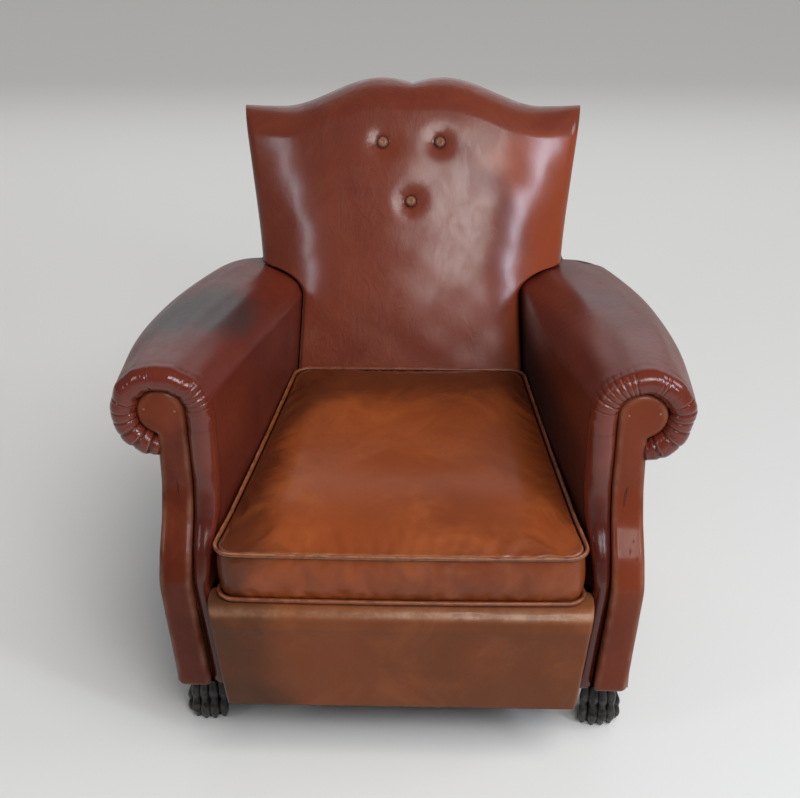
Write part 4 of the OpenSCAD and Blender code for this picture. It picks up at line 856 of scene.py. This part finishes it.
def button_pieces():
    """A leather-covered dome with a pinched waist at each dimple, turned round its own axis."""
    # Radius and height of points down the dome's section
    profile = np.array([[0.0, 0.0050], [0.0020, 0.0054], [0.0045, 0.0062], [0.0066, 0.0058],
                        [0.0083, 0.0042], [0.0092, 0.0020], [0.0094, 0.0004], [0.0088, -0.0010],
                        [0.0070, -0.0020], [0.0, -0.0024]])
    fine = np.linspace(0, len(profile) - 1, 30)[1:-1]
    radius, height = (np.interp(fine, np.arange(len(profile)), profile[:, k]) for k in (0, 1))
    turn = circle(40)
    lean = Vector((0, -math.cos(INNER_RAKE), math.sin(INNER_RAKE)))
    up = Vector((0, math.sin(INNER_RAKE), math.cos(INNER_RAKE)))
    across, up, lean = np.array(up.cross(lean)), np.array(up), np.array(lean)
    radius, height = radius[:, None], height[:, None]
    spread = radius * (1 + 0.02 * np.cos(turn * 7) * ease((radius - 0.004) / 0.004))
    # Painted shade round the pinched waist; the dome above it is rubbed paler.
    shade_and_chips = np.repeat(0.6 * bump(height + 0.001, 0.0015), len(turn), 1)
    for k, (bx, bt) in enumerate(BUTTONS):
        level = 2 * (bt - BACK_BOTTOM_T) / (HUMP_T - BACK_BOTTOM_T) - 1
        crown = BACK_CROWN * (1 - (bx / CORNER_X) ** 2) * (1 - level ** 2)
        middle = raked(bx, bt, inner_plane(bt) + crown + 0.004 - DIMPLE_DEPTH + 0.0030)
        rings = (middle + (spread * np.cos(turn))[..., None] * across
                 + (spread * np.sin(turn))[..., None] * up + height[..., None] * lean)
        piece = loft(f"back_button_{k + 1}", rings, {"shade_and_chips": shade_and_chips, "wear_and_highlight": 0.35 * (1 - shade_and_chips)})
        place(piece, button_leather, "back_leather", "back_buttons")


button_pieces()


# Outline of the outside back: up the side, round the arm's rear end, over the top

def back_outline(count, inset):
    """Points round the outside back from the right foot to the left foot, drawn in by an inset."""
    y = PANEL_TOP_Y
    g = np.linspace(under_angle(y), math.pi / 2, 60)
    arm_x = arm_mid_x(y) + (arm_half_w(y) - 0.0025) * np.cos(g)
    arm_t = (arm_mid_z(y) + (arm_half_h(y) - 0.0025) * np.sin(g) - FOOT_H) / math.cos(OUTER_RAKE)
    t_side = np.linspace(WAIST_T + 0.029, CORNER_T, 40)
    top_x = np.linspace(CORNER_X, 0, 90)[1:]
    x = np.concatenate([[panel_x(rear_plane_y(FOOT_H))], arm_x, back_side(t_side), top_x])
    t = np.concatenate([[0.0025], arm_t, t_side, back_top(top_x)])
    x, t = evenly(np.append(x, -x[-2::-1]), np.append(t, t[-2::-1]), count)
    dx, dt = np.gradient(x), np.gradient(t)
    size = np.hypot(dx, dt)
    x, t = x - inset * dt / size, t + inset * dx / size
    # Near the two top corners the drawn-in points are kept from passing each other
    high = t > 0.60
    x = np.where(high, np.sign(x) * np.minimum(np.abs(x), CORNER_X - inset), x)
    return x, np.where(high & (np.abs(x) > TROUGH_X), np.minimum(t, back_top(x) - inset), t)


def outside_back_piece():
    """The rear panel: rings drawn in from the outline towards a spine, the first turned under."""
    x, t = back_outline(420, 0.0090)
    for _ in range(8):
        corner = (np.abs(x) > 0.26) & (t > 0.67)
        x, t = (np.where(corner, (np.roll(v, 1) + 2 * v + np.roll(v, -1)) / 4, v) for v in (x, t))
    shares = np.concatenate([[0.0, 0.004, 0.012], np.linspace(0.03, 0.97, 26)])[:, None]
    ring_x, ring_t = mix(x, np.clip(x, -0.08, 0.08), shares), mix(t, np.clip(t, 0.12, 0.60), shares)
    slack = 0.0012 * waves(91, ring_x, ring_t, scale=9.0, count=4) * ease(shares / 0.2)
    sag = -0.0022 + 0.0026 * ease(shares / 0.02) + slack
    rings = np.concatenate([raked(ring_x[:1], ring_t[:1], 0.0022),
                            raked(ring_x, ring_t, -sag - 0.0004)])
    # Painted shade along the turned-under edge by the welt.
    shade_and_chips = np.zeros(rings.shape[:2])
    shade_and_chips[:3] = 0.6
    piece = loft("outside_back_leather", rings, {"shade_and_chips": shade_and_chips}, merge=0.00001)
    place(piece, back_leather, "back_leather", "outside_back_cover")


outside_back_piece()


def back_welt():
    """Piping that follows the outline of the outside back, with a slight unevenness of its own."""
    count = 700
    path = raked(*back_outline(count, 0.004), 0.0040)
    r = 0.0036 + 0.00018 * waves(41, np.arange(count) * 0.02, scale=9.0)
    along = unit(np.gradient(path, axis=0))
    normal = unit(np.cross(along, [0.0, -math.cos(OUTER_RAKE), math.sin(OUTER_RAKE)]))
    rings = round_rings(path, r, normal, np.cross(normal, along), 12)
    wear_and_highlight = 0.35 + 0.3 * waves(42, np.arange(count) * 0.03, scale=5.0)
    piece = loft("back_welt", rings, {"wear_and_highlight": repeated(np.clip(wear_and_highlight, 0, 1), 12)})
    place(piece, dark_piping, "back_leather", "back_piping")


back_welt()


# Outer side panels

def outside_arm_piece(side):
    """A stretched panel under the arm's roll: flat to its edges, slightly slack between them."""
    sign = SIDES[side]
    v, u = np.linspace(0, 1, 60)[:, None], np.linspace(0, 1, 90)
    y = mix(-0.30, 0.30, u)
    under = arm_mid_z(y) + arm_half_h(y) * np.sin(under_angle(y)) - 0.0006
    z = mix(FOOT_H + 0.0005, under, v)
    y = mix(facing_y(z) + 0.0166, rear_plane_y(z) - PANEL_REAR_GAP, u)
    slack = (0.0014 * np.sin(math.pi * u) * np.sin(math.pi * v)
             + 0.0007 * waves(51 + sign, y, z, scale=12.0, count=4))
    edge = ease(np.minimum(np.minimum(u, 1 - u) * 0.6, np.minimum(v, 1 - v) * 0.35) / 0.012)
    x = panel_x(y) - 0.0012 + (0.0012 + slack) * edge
    outer, inner = grid(x, y, z), grid(panel_x(y) - 0.0024, y, z)
    rings = np.concatenate([outer, inner[:, ::-1]], 1)
    # Painted shade along the panel's sunk edges; its patina is even.
    piece = loft(f"outside_arm_leather_{side}", mirrored(rings, sign),
                 {"shade_and_chips": 0.55 * (1 - edge), "patina_and_painted_light": np.full(rings.shape[:2], 0.12)})
    place(piece, arm_leather, "arm_leather", f"outside_arm_cover_{side}")


for side in SIDES:
    outside_arm_piece(side)


# Facings: leather-covered boards with a round head

def outline_gap(x, z, outline):
    """Distance from each place to the nearest side of a closed outline."""
    a, b = outline, np.roll(outline, -1, 0)
    p = np.stack([x, z], -1).reshape(-1, 1, 2)
    s = np.clip(((p - a) * (b - a)).sum(-1) / np.maximum(((b - a) ** 2).sum(-1), 1e-12), 0, 1)
    return np.sqrt(((a + s[..., None] * (b - a) - p) ** 2).sum(-1)).min(-1).reshape(x.shape)


def facing_piece(side):
    """Rows are chords across the board's outline, from the foot to the top of its head; the
    front is set back near the outline in a quarter circle, and a flat rear closes it."""
    sign = SIDES[side]
    corner_r, edge_r = 0.011, 0.0085
    corner_z = FACING_FOOT_Z + corner_r
    z = np.concatenate([
        FACING_FOOT_Z + corner_r * (1 - np.cos(np.linspace(0, math.pi / 2, 12))),
        np.linspace(corner_z, SCROLL_Z, 150)[1:],
        SCROLL_Z + FACING_HEAD_R * np.sin(np.radians(np.linspace(0, 89, 46))[1:])])
    head_half = np.sqrt(np.clip(FACING_HEAD_R ** 2 - (z - SCROLL_Z) ** 2, 0, None))
    outer = facing_outer(z) - FACING_GAP
    outer = np.where(z > 0.52, np.maximum(outer * (z < SCROLL_Z), SCROLL_X + head_half), outer)
    inner = np.where(z < SCROLL_Z, facing_inner(z) + FACING_GAP, SCROLL_X - head_half)
    low = np.maximum(corner_z - z, 0)
    drawn_in = corner_r - np.sqrt(np.clip(corner_r ** 2 - low ** 2, 0, None))
    outer, inner = outer - drawn_in, inner + 0.5 * drawn_in
    u = 0.5 - 0.5 * np.cos(np.linspace(0, math.pi, 60))
    x, zz = mix(inner[:, None], outer[:, None], u), repeated(z, len(u))
    outline = np.stack([np.append(inner, outer[::-1]), np.append(z, z[::-1])], -1)
    gap = outline_gap(x, zz, outline)
    set_back = edge_r * (1 - np.sqrt(np.clip(1 - (1 - np.clip(gap / edge_r, 0, 1)) ** 2, 0, 1)))
    dome = 0.0012 * ease(gap / 0.02)
    chips = np.zeros_like(x)
    for cx, cz, size in FACING_MARKS[side]:
        ragged = size * (1 + 0.5 * waves(int(cz * 999), x, zz, scale=900.0, count=4))
        chips = np.maximum(chips, ease((ragged - np.hypot(x - cx, (zz - cz) * 0.8)) / 0.001))
    y = (facing_y(zz) + set_back - dome + 0.0004 * chips
         + 0.0006 * waves(61 + sign, x, zz, scale=40.0, count=4))
    rear_x = mix(inner[:, None], outer[:, None], np.linspace(0.98, 0.02, 14))
    rear_z = repeated(z, 14)
    walls = [grid(edge, facing_y(z) + 0.0150, z)[:, None] for edge in (outer, inner)]
    rear = grid(rear_x, facing_y(rear_z) + 0.0160, rear_z)
    rings = np.concatenate([grid(x, y, zz), walls[0], rear, walls[1]], 1)
    # The lowest row is doubled, the copy a little farther back, to round the board's foot
    foot = rings[:1].copy()
    foot[..., 1] = np.maximum(foot[..., 1], facing_y(FACING_FOOT_Z) + 0.006)
    rub = bump(gap - 0.004, 0.004) * (0.35 + 0.3 * waves(77 + sign, x, zz, scale=60.0))
    # Chips darken the leather and its edges are rubbed paler; the left facing is darkened by
    # painted shade, less on its head.
    held = {"shade_and_chips": 0.6 * chips, "wear_and_highlight": np.clip(rub, 0, 1) * 0.5,
            "patina_and_painted_light": (0.74 if sign < 0 else 0.08) - 0.25 * ease((zz - 0.50) / 0.05)}
    piece = loft(f"facing_leather_{side}", mirrored(np.concatenate([foot, rings]), sign),
                 {k: np.vstack([v[:1], v]) for k, v in held.items()}, merge=0.00001)
    place(piece, facing_leather, "facing_leather", f"arm_facing_{side}")


def facing_tacks(side):
    """Two small leather-headed tacks that hold each facing's head."""
    turn = circle(16)
    rise = np.radians(np.linspace(0, 85, 7))[:, None]
    spread = 0.0021 * np.cos(rise)
    parts = []
    for x, z in ((0.322, 0.5640), (0.3655, 0.5670)):
        y = float(facing_y(z)) - 0.0004 - 0.0012 * np.sin(rise)
        dome = grid(x + spread * np.cos(turn), y, z + spread * np.sin(turn))
        parts.append((mirrored(dome, SIDES[side]), {"wear_and_highlight": np.full(dome.shape[:2], 0.6)}))
    place(lofts(f"facing_tacks_{side}", parts), facing_leather, "facing_leather",
          f"arm_facing_{side}")


for side in SIDES:
    facing_piece(side)
    facing_tacks(side)


# Front border

def border_piece():
    """A padded front panel: its section bulges gently, rolls over a round lip at the top and lies
    flat on the deck; both ends turn back round a small radius."""
    rise, lip, depth_max = DECK_Z - BORDER_FOOT_Z, 0.021, BORDER_BACK_Y - BORDER_FRONT_Y
    low = np.linspace(0, 1, 70)
    g = np.radians(np.linspace(0, 90, 22))[1:]
    d = np.concatenate([
        depth_max - 0.004 * (1 - np.sin(np.clip(low * 1.7, 0, 1) * math.pi / 2))
        + 0.0015 * bump(low - 0.93, 0.05),
        depth_max - lip + lip * np.cos(g),
        np.linspace(depth_max - lip, 0.0110, 20)[1:]])[:, None]
    z = np.concatenate([BORDER_FOOT_Z + low * (rise - lip), DECK_Z - lip + lip * np.sin(g),
                        np.full(19, DECK_Z)])
    half = mix(0.266, 0.284, (z - BORDER_FOOT_Z) / rise)[:, None]
    share, turn = turned_columns(240, 0.93, 0.975)
    x, zz = share * half, repeated(z, len(share))
    turned_d = d - 0.012 * (1 - np.cos(turn)) * ease((d - 0.02) / 0.02)
    slack = (0.0010 * waves(101, x, zz, scale=16.0, count=5) * ease((zz - 0.12) / 0.05)
             * (zz < DECK_Z - 0.004))
    pull = 0.0010 * bump(zz - 0.279, 0.004) * (1 + 0.6 * waves(103, x, scale=60.0))
    front = grid(x, BORDER_BACK_Y - (turned_d + slack - pull), zz)
    rear_y = BORDER_BACK_Y - 0.0005
    s = np.linspace(0.8, 0.0, 5)
    walls = [grid(base[..., 0] - way * 0.016 * ease((0.62 - s) / 0.1),
                  mix(rear_y, base[..., 1], s), base[..., 2])
             for way, base in ((1, front[:, -1:]), (-1, front[:, :1]))]
    rear = grid(np.linspace(1, -1, 20)[1:-1] * (half - 0.017), rear_y, z[:, None])
    rings = np.concatenate([front, walls[0], rear, walls[1][:, ::-1]], 1)
    # Painted shade in the pulled line under the lip.
    shade_and_chips = 0.35 * bump(zz - 0.2795, 0.0016) * (0.6 + 0.4 * waves(104, x, scale=40.0))
    # Painted highlight along the lip, strongest towards the right, and a faint one at both ends.
    wear_and_highlight = (0.62 * bump(zz - 0.279, 0.0055) * mix(0.5, 1.0, ease((x + 0.2) / 0.3))
            + 0.05 * bump(np.abs(share) - 1, 0.01))
    # Painted shade darkens the border towards its left end and its foot.
    piece = loft("front_border_leather", rings,
                 {"shade_and_chips": np.clip(shade_and_chips, 0, 1), "wear_and_highlight": np.clip(wear_and_highlight, 0, 1),
                  "patina_and_painted_light": 0.75 * ease((-0.10 - x) / 0.14) + 0.35 * ease((0.17 - zz) / 0.06)},
                 merge=0.00001)
    place(piece, border_leather, "border_leather", "front_border_cover", "front_border_stuffing")


border_piece()


def deck_piece():
    """The platform under the cushion: cloth that crowns a little between the arms."""
    y, u = np.broadcast_arrays(np.linspace(-0.3385, 0.060, 50)[:, None], np.linspace(-1, 1, 60))
    x = u * (seat_half(y) - 0.0012)
    sag = 0.0022 * (1 - u ** 2) * (1 - ((y + 0.14) / 0.2) ** 2)
    top, base = grid(x, y, DECK_Z - 0.0008 - sag), grid(x, y, 0.2570)
    piece = loft("seat_deck_cloth", np.concatenate([top, base[:, ::-1]], 1))
    place(piece, platform_cloth, "platform_cloth", "seat_platform_cover", "seat_stuffing")


deck_piece()


# Cushion

COUNT = 360
ROUND = np.arange(COUNT) / COUNT * 2 * math.pi
UNDER_SHARES = np.concatenate([np.linspace(0.02, 0.9, 14), np.linspace(0.92, 1, 8)])
BOXING_LEVELS = np.linspace(0, 1, 34)[1:-1]
TOP_SHARES = np.concatenate([1 - np.linspace(0, 1, 30) ** 1.4 * 0.16, np.linspace(0.82, 0.02, 62)])


def cushion_half(y):
    """Half width of the cushion's body between the arms, less the room for its piping."""
    return seat_half(y) + 0.002 * ease((-0.304 - y) / 0.070) - SEAT_GAP - PIPING_ROOM


def cushion_rear(z):
    """Y of the cushion's rear at a height, in front of the leaning back."""
    return (INNER_BACK_Y + (z - INNER_BACK_Z) * math.tan(INNER_RAKE) - BACK_CROWN - SEAT_GAP
            - PIPING_ROOM - 0.001)


def cushion_height(y):
    """Height of the cushion, which grows towards its rear."""
    return mix(0.088, 0.121, (y - CUSHION_FRONT_Y) / (INNER_BACK_Y - CUSHION_FRONT_Y))


def cushion_plan(rear_y):
    """The cushion's outline between the arms: a bowed front, round corners and a straight rear."""
    r, front_y = CUSHION_CORNER_R, CUSHION_FRONT_Y + PIPING_ROOM
    xf, xr = cushion_half(front_y + r) - r, cushion_half(rear_y - r) - r
    corner, line = np.radians(np.linspace(-90, 0, 24)), np.linspace(0, 1, 40)
    side_y = np.linspace(front_y + r, rear_y - r, 60)[1:-1]
    x = np.concatenate([line * xf, xf + r * np.cos(corner), cushion_half(side_y),
                        xr + r * np.cos(corner + math.pi / 2), (1 - line) * xr])
    y = np.concatenate([front_y - 0.003 * (1 - line ** 2), front_y + r + r * np.sin(corner),
                        side_y, rear_y - r + r * np.sin(corner + math.pi / 2),
                        rear_y + 0.001 * line ** 2])
    return np.stack(evenly(np.append(x, -x[-2:0:-1]), np.append(y, y[-2:0:-1]), COUNT, True), -1)


PLANS = cushion_plan(cushion_rear(CUSHION_Z)), cushion_plan(cushion_rear(INNER_BACK_Z))


def cushion_ring(v, k, out, rise):
    """One ring: height share v between the seams, share k of the way out from the middle."""
    plan = mix(PLANS[0], PLANS[1], v)
    along = unit(np.roll(plan, -1, 0) - np.roll(plan, 1, 0))
    outward = np.stack([along[:, 1], -along[:, 0]], -1)
    middle = np.array([0.0, (cushion_rear(INNER_BACK_Z) + CUSHION_FRONT_Y) / 2])
    at = middle + (plan - middle) * k + outward * np.broadcast_to(out, (COUNT,))[:, None]
    z = CUSHION_Z + 0.0045 + v * (cushion_height(at[:, 1]) - 0.009) + rise
    return np.concatenate([at, z[:, None]], 1)


def round_waves(seed, size, *more, scale, count=7):
    """Soft unevenness that meets itself once round the cushion."""
    return waves(seed, np.cos(ROUND) * size, np.sin(ROUND) * size, *more, scale=scale, count=count)


def swollen(piece, held, cap, even):
    """Blows a soft piece up as cloth that is held at some of its points, and moves each point by
    the way that it went, drawn towards a cap by a hyperbolic tangent. Each ring of points is
    drawn towards its own mean way by its share in even, so that no star forms in the middle."""
    group = piece.vertex_groups.new(name="held")
    group.add([int(i) for i in np.flatnonzero(held)], 1.0, "REPLACE")
    cloth_pad, frames = piece.modifiers.new("swell", "CLOTH"), 20
    settings = {"quality": 3, "mass": 0.3, "tension_stiffness": 12.0, "compression_stiffness": 12.0,
                "shear_stiffness": 4.0, "bending_stiffness": 0.4, "use_pressure": True,
                "uniform_pressure_force": 4.0, "shrink_min": -0.012, "vertex_group_mass": "held"}
    for key, value in settings.items():
        setattr(cloth_pad.settings, key, value)
    cloth_pad.settings.effector_weights.gravity = 0.0
    cloth_pad.point_cache.frame_start, cloth_pad.point_cache.frame_end = 1, frames
    scene = bpy.context.scene
    for step in range(1, frames + 1):
        scene.frame_set(step)
    count = len(piece.data.vertices)
    start, end = np.empty(count * 3, np.float32), np.empty(count * 3, np.float32)
    piece.data.vertices.foreach_get("co", start)
    piece.evaluated_get(bpy.context.evaluated_depsgraph_get()).data.vertices.foreach_get("co", end)
    way = (end - start).reshape(-1, 3)
    length = np.linalg.norm(way, axis=1)[:, None]
    way *= cap * np.tanh(length / cap) / np.maximum(length, 1e-9)
    rows = way[:len(even) * COUNT].reshape(-1, COUNT, 3)
    means = rows.mean(1, keepdims=True)
    rows += (means - rows) * np.asarray(even)[:, None, None]
    way[-1] = means[-1, 0]
    piece.modifiers.remove(cloth_pad)
    piece.vertex_groups.remove(group)
    piece.data.vertices.foreach_set("co", (start + way.ravel()).astype(np.float32))
    piece.data.update()
    scene.frame_set(1)


def cushion_piece():
    """Rings go from the middle of the underside out to the lower seam, up the boxing, which
    bows out between its seams, and in over the crowned top. The seams draw the leather in, short
    puckers run from them, and cloth under pressure, held at the seams, gives the rest."""
    pucker = 0.5 + 0.5 * round_waves(7, 3, scale=26.0, count=6)
    front = ease((-0.36 - PLANS[1][:, 1]) / 0.02)
    # Painted shade darkens the seams and the puckers.
    rings, shade_and_chips, wear_and_highlight = [], [], []
    for k in UNDER_SHARES:
        rings.append(cushion_ring(0, k, 0.0, -0.0043 * ease((1 - k) / 0.06)))
        shade_and_chips.append(np.full(COUNT, 0.5 * bump(k - 1, 0.01)))
        wear_and_highlight.append(np.zeros(COUNT))
    for v in BOXING_LEVELS:
        bow = (0.0045 * math.sin(math.pi * v) ** 0.8
               - 0.0012 * (bump(v - 0.05, 0.04) + bump(v - 0.95, 0.04)))
        slack = 0.0008 * round_waves(9, 4, v, scale=5.0, count=5)
        rings.append(cushion_ring(v, 1, bow + slack * math.sin(math.pi * v), 0))
        shade_and_chips.append(np.full(COUNT, 0.7 * bump(v, 0.035) + 0.7 * bump(v - 1, 0.035)))
        # A pale painted highlight just under the top seam.
        wear_and_highlight.append(np.full(COUNT, 0.2 * bump(v - 0.93, 0.02)))
    for k in TOP_SHARES:
        d = 1 - k
        rise = (CUSHION_CROWN * (1 - (1 - np.clip(d / 0.85, 0, 1)) ** 2.9)
                + 0.0055 * (1 - math.exp(-d / 0.035)))
        seam = -0.0014 * bump(d - 0.004, 0.006)
        folds = -0.0012 * pucker * bump(d - 0.024, 0.022)
        ring = cushion_ring(1, k, 0.0, rise + seam + folds)
        uneven = 0.0014 * waves(13, ring[:, 0], ring[:, 1], scale=12.0, count=5)
        ring[:, 2] += uneven * ease(d / 0.2)
        rings.append(ring)
        shade_and_chips.append(0.8 * bump(d, 0.004) + 0.12 * pucker * bump(d - 0.02, 0.015))
        # A painted highlight along the front of the top, just inside the seam.
        wear_and_highlight.append(np.full(COUNT, 0.4 * bump(d - 0.006, 0.003)) * front)
    rings = np.stack(rings)
    x, y = rings[..., 0], rings[..., 1]
    # Painted shade: darker on the left, at the rear and underneath, little on the right edge.
    upper = ease((rings[..., 2] - CUSHION_Z) / 0.08)
    edge = ease((np.abs(x) - 0.10) / 0.17)
    top_shade = edge * mix(0.05, 1.0, x < 0) + 0.95 * ease((y + 0.14) / 0.24)
    patina_and_painted_light = mix(0.95 * ease((-0.20 - x) / 0.05), top_shade, upper)
    patina_and_painted_light = np.where(np.arange(len(rings))[:, None] < len(UNDER_SHARES), 0.6, patina_and_painted_light)
    held = {"shade_and_chips": np.clip(np.stack(shade_and_chips), 0, 1), "wear_and_highlight": np.stack(wear_and_highlight), "patina_and_painted_light": patina_and_painted_light}
    piece = loft("seat_cushion_leather", rings, held)
    row = np.arange(len(piece.data.vertices)) // COUNT
    seams = (len(UNDER_SHARES) - 1, len(UNDER_SHARES) + len(BOXING_LEVELS))
    under_middle = np.arange(len(row)) == len(rings) * COUNT
    even = np.zeros(len(rings))
    even[-len(TOP_SHARES):] = ease((0.75 - TOP_SHARES) / 0.5)
    swollen(piece, (row <= seams[0]) | (row == seams[1]) | under_middle, 0.006, even)
    place(piece, cushion_leather, "cushion_leather", "cushion_top_cover", "cushion_boxing",
          "cushion_bottom_cover", "cushion_filling", body="seat_cushion")


cushion_piece()


def cushion_piping(v, name, node):
    """Piping round a seam: its own leather between two thin pale lines, where the folds of its
    seam are scuffed pale and highlights are painted."""
    r = (0.0032 if v else 0.0036) + 0.00012 * round_waves(17, 5, scale=8.0)
    rubbed_and_lit = 0.75 + 0.35 * round_waves(19, 4, scale=5.0)
    sides = 20
    turn = np.degrees(circle(sides))
    turn = np.where(turn > 180, turn - 360, turn)
    lines = (bump(turn - 72, 20) + 0.55 * bump(turn + 18, 16)) if v else 0.45 * bump(turn - 54, 18)
    piece = loft(name, tube_rings(cushion_ring(v, 1, 0.0050, 0), r, sides),
                 {"wear_and_highlight": np.clip(rubbed_and_lit[:, None] * lines, 0, 1)}, closed=True)
    place(piece, piping_leather, "piping_leather", node, body="seat_cushion")


cushion_piping(1, "cushion_top_piping", "cushion_piping_top")
cushion_piping(0, "cushion_bottom_piping", "cushion_piping_bottom")


# Feet

PAW_X, PAW_Y = 0.3115, -0.318
# A toe's place across and forward of the paw's middle, its thickness and the height of its root
TOES = ((-0.0215, -0.0120, 0.0068, 0.104), (-0.0072, -0.0165, 0.0072, 0.104),
        (0.0072, -0.0165, 0.0072, 0.104), (0.0210, -0.0125, 0.0070, 0.104),
        (0.0315, -0.0010, 0.0060, 0.072))


def toe_rings(across, ahead, thick, root):
    """A finger-like toe: it comes down from under the frame, swells at two knuckles and ends in a
    blunt claw on the floor."""
    s = np.linspace(0, 1, 46)
    knuckles = bump(s - 0.48, 0.10) + 1.1 * bump(s - 0.80, 0.09)
    z = mix(root, 0.0035, s)
    spread = mix(0.72, 1.0, ease(s / 0.6))
    x = PAW_X + across * spread
    y = PAW_Y + ahead * spread - 0.0022 * knuckles - 0.0020 * ease((s - 0.5) / 0.4)
    claw = np.sqrt(1 - ease((s - 0.86) / 0.16) * 0.8)
    r = thick * (1 + 0.16 * knuckles - 0.10 * bump(s - 0.64, 0.07)) * claw
    rings = tube_rings(grid(x, y, z), r, 22, closed=False)
    rings[..., 2] = np.maximum(rings[..., 2], 0.0)
    # Rubbed knuckles, which also paint their highlights.
    wear_and_highlight = repeated(0.35 + 0.65 * np.clip(knuckles, 0, 1), 22)
    return rings, {"shade_and_chips": 0 * wear_and_highlight, "wear_and_highlight": wear_and_highlight}


def paw_foot(side):
    """A carved paw: a rounded pad that climbs to a block under the frame, with five toes in front
    of it and round its outer side."""
    v, g = np.linspace(0, 1, 60), circle(72)
    # Height, width and depth of the pad's sections, as shares of the paw's own
    rows = np.array([[0, 0.62, 0.70], [0.05, 0.78, 0.90], [0.16, 0.86, 1.0], [0.30, 0.80, 0.92],
                     [0.45, 0.66, 0.72], [0.60, 0.62, 0.64], [0.80, 0.70, 0.70], [1.0, 0.78, 0.76]])
    wide, deep = (np.interp(v, rows[:, 0], rows[:, k])[:, None] for k in (1, 2))
    pad = grid(PAW_X + 0.028 * wide * np.cos(g), PAW_Y + 0.004 + 0.026 * deep * np.sin(g),
               v[:, None] * FOOT_H)
    # Painted shade over the pad behind and between the toes, darkest at the floor.
    hollow = repeated(0.7 - 0.3 * v, len(g))
    parts = [(pad, {"shade_and_chips": hollow, "wear_and_highlight": 0 * hollow})] + [toe_rings(*toe) for toe in TOES]
    piece = lofts(f"carved_paw_{side}",
                  [(mirrored(rings, SIDES[side]), held) for rings, held in parts])
    place(piece, paw_finish, "dark_wood", f"front_paw_foot_{side}")


for side in SIDES:
    paw_foot(side)


# CAD nodes that stay take procedural finishes

FINISHES = {
    "beech": beech, "dark_wood": dark_wood, "jute": jute, "spring_steel": spring_wire,
    "padding": calico, "platform_cloth": platform_cloth, "black_cloth": black_cloth,
    "tack_steel": tack_steel,
    "back_leather": back_leather, "arm_leather": arm_leather, "facing_leather": facing_leather,
    "border_leather": border_leather, "cushion_leather": cushion_leather,
    "piping_leather": piping_leather,
}
for entry in frame["record"]["subparts"]:
    kept = nodes.get(entry["node"])
    if kept is not None:
        for slot in kept.material_slots:
            slot.material = FINISHES[entry["material_slot"]]


# Floor, light and world

def make_stage():
    """A plain pale floor under soft studio light from broad lamps."""
    reach = 60.0
    corners = np.array([(-1, -1, 0), (1, -1, 0), (1, 1, 0), (-1, 1, 0)]) * reach
    floor = finish_mesh("studio_floor", corners, [(0, 1, 2, 3)])
    f = Finish("studio_floor")
    tone = f.blend(f.noise(1.2, 3.0, 0.5) * 0.06, (0.66, 0.65, 0.63), (0.61, 0.60, 0.58))
    floor.data.materials.append(f.surface({"Base Color": tone, "Roughness": 0.7}))

    world = bpy.data.worlds.new("studio")
    bpy.context.scene.world = world
    world.use_nodes = True
    background = world.node_tree.nodes["Background"]
    background.inputs["Color"].default_value = (0.88, 0.93, 1.0, 1.0)
    background.inputs["Strength"].default_value = 0.14

    sun = bpy.data.lights.new("soft_sky", "SUN")
    sun.energy = 1.75
    sun.angle = math.radians(42)
    sun.color = (1.0, 0.985, 0.96)
    # Each lamp's name, place, target, size, power and colour
    lamps = [
        ("front_window", (0.58, -2.1, 2.0), (0.1, 0.2, 0.6), (1.1, 0.72), 25.0, (1.0, 0.99, 0.97)),
        ("left_window", (-1.85, -1.58, 1.62), (-0.1, 0.2, 0.6), (0.22, 0.9), 7.0, (0.84, 0.9, 1.0)),
        ("right_window", (1.72, -1.62, 1.7), (0.1, 0.2, 0.6), (0.26, 0.9), 20.0, (0.7, 0.82, 1.0)),
        ("side_window", (2.9, -0.3, 2.3), (0.0, 0.0, 0.6), (1.1, 1.1), 22.0, (0.92, 0.96, 1.0)),
        ("rear_wall", (0.0, 2.9, 2.0), (0.0, 0.0, 0.5), (6.0, 2.6), 34.0, (0.96, 0.98, 1.0)),
    ]
    placed = [(sun, (0.40, -0.45, 1.15), (0.0, 0.0, 0.0))]
    for name, at, target, size, power, colour in lamps:
        data = bpy.data.lights.new(name, "AREA")
        data.shape = "RECTANGLE"
        data.size, data.size_y = size
        data.energy = power
        data.color = colour
        placed.append((data, at, target))
    for data, at, target in placed:
        lamp = bpy.data.objects.new(data.name, data)
        lamp.location = at
        # The broad sun lights the leather but leaves no hard disc in its polish
        lamp.visible_glossy = data.type != "SUN"
        lamp.rotation_euler = (Vector(target) - Vector(at)).to_track_quat("-Z", "Y").to_euler()
        bpy.context.scene.collection.objects.link(lamp)


make_stage()
bpy.context.scene.view_settings.view_transform = "Standard"
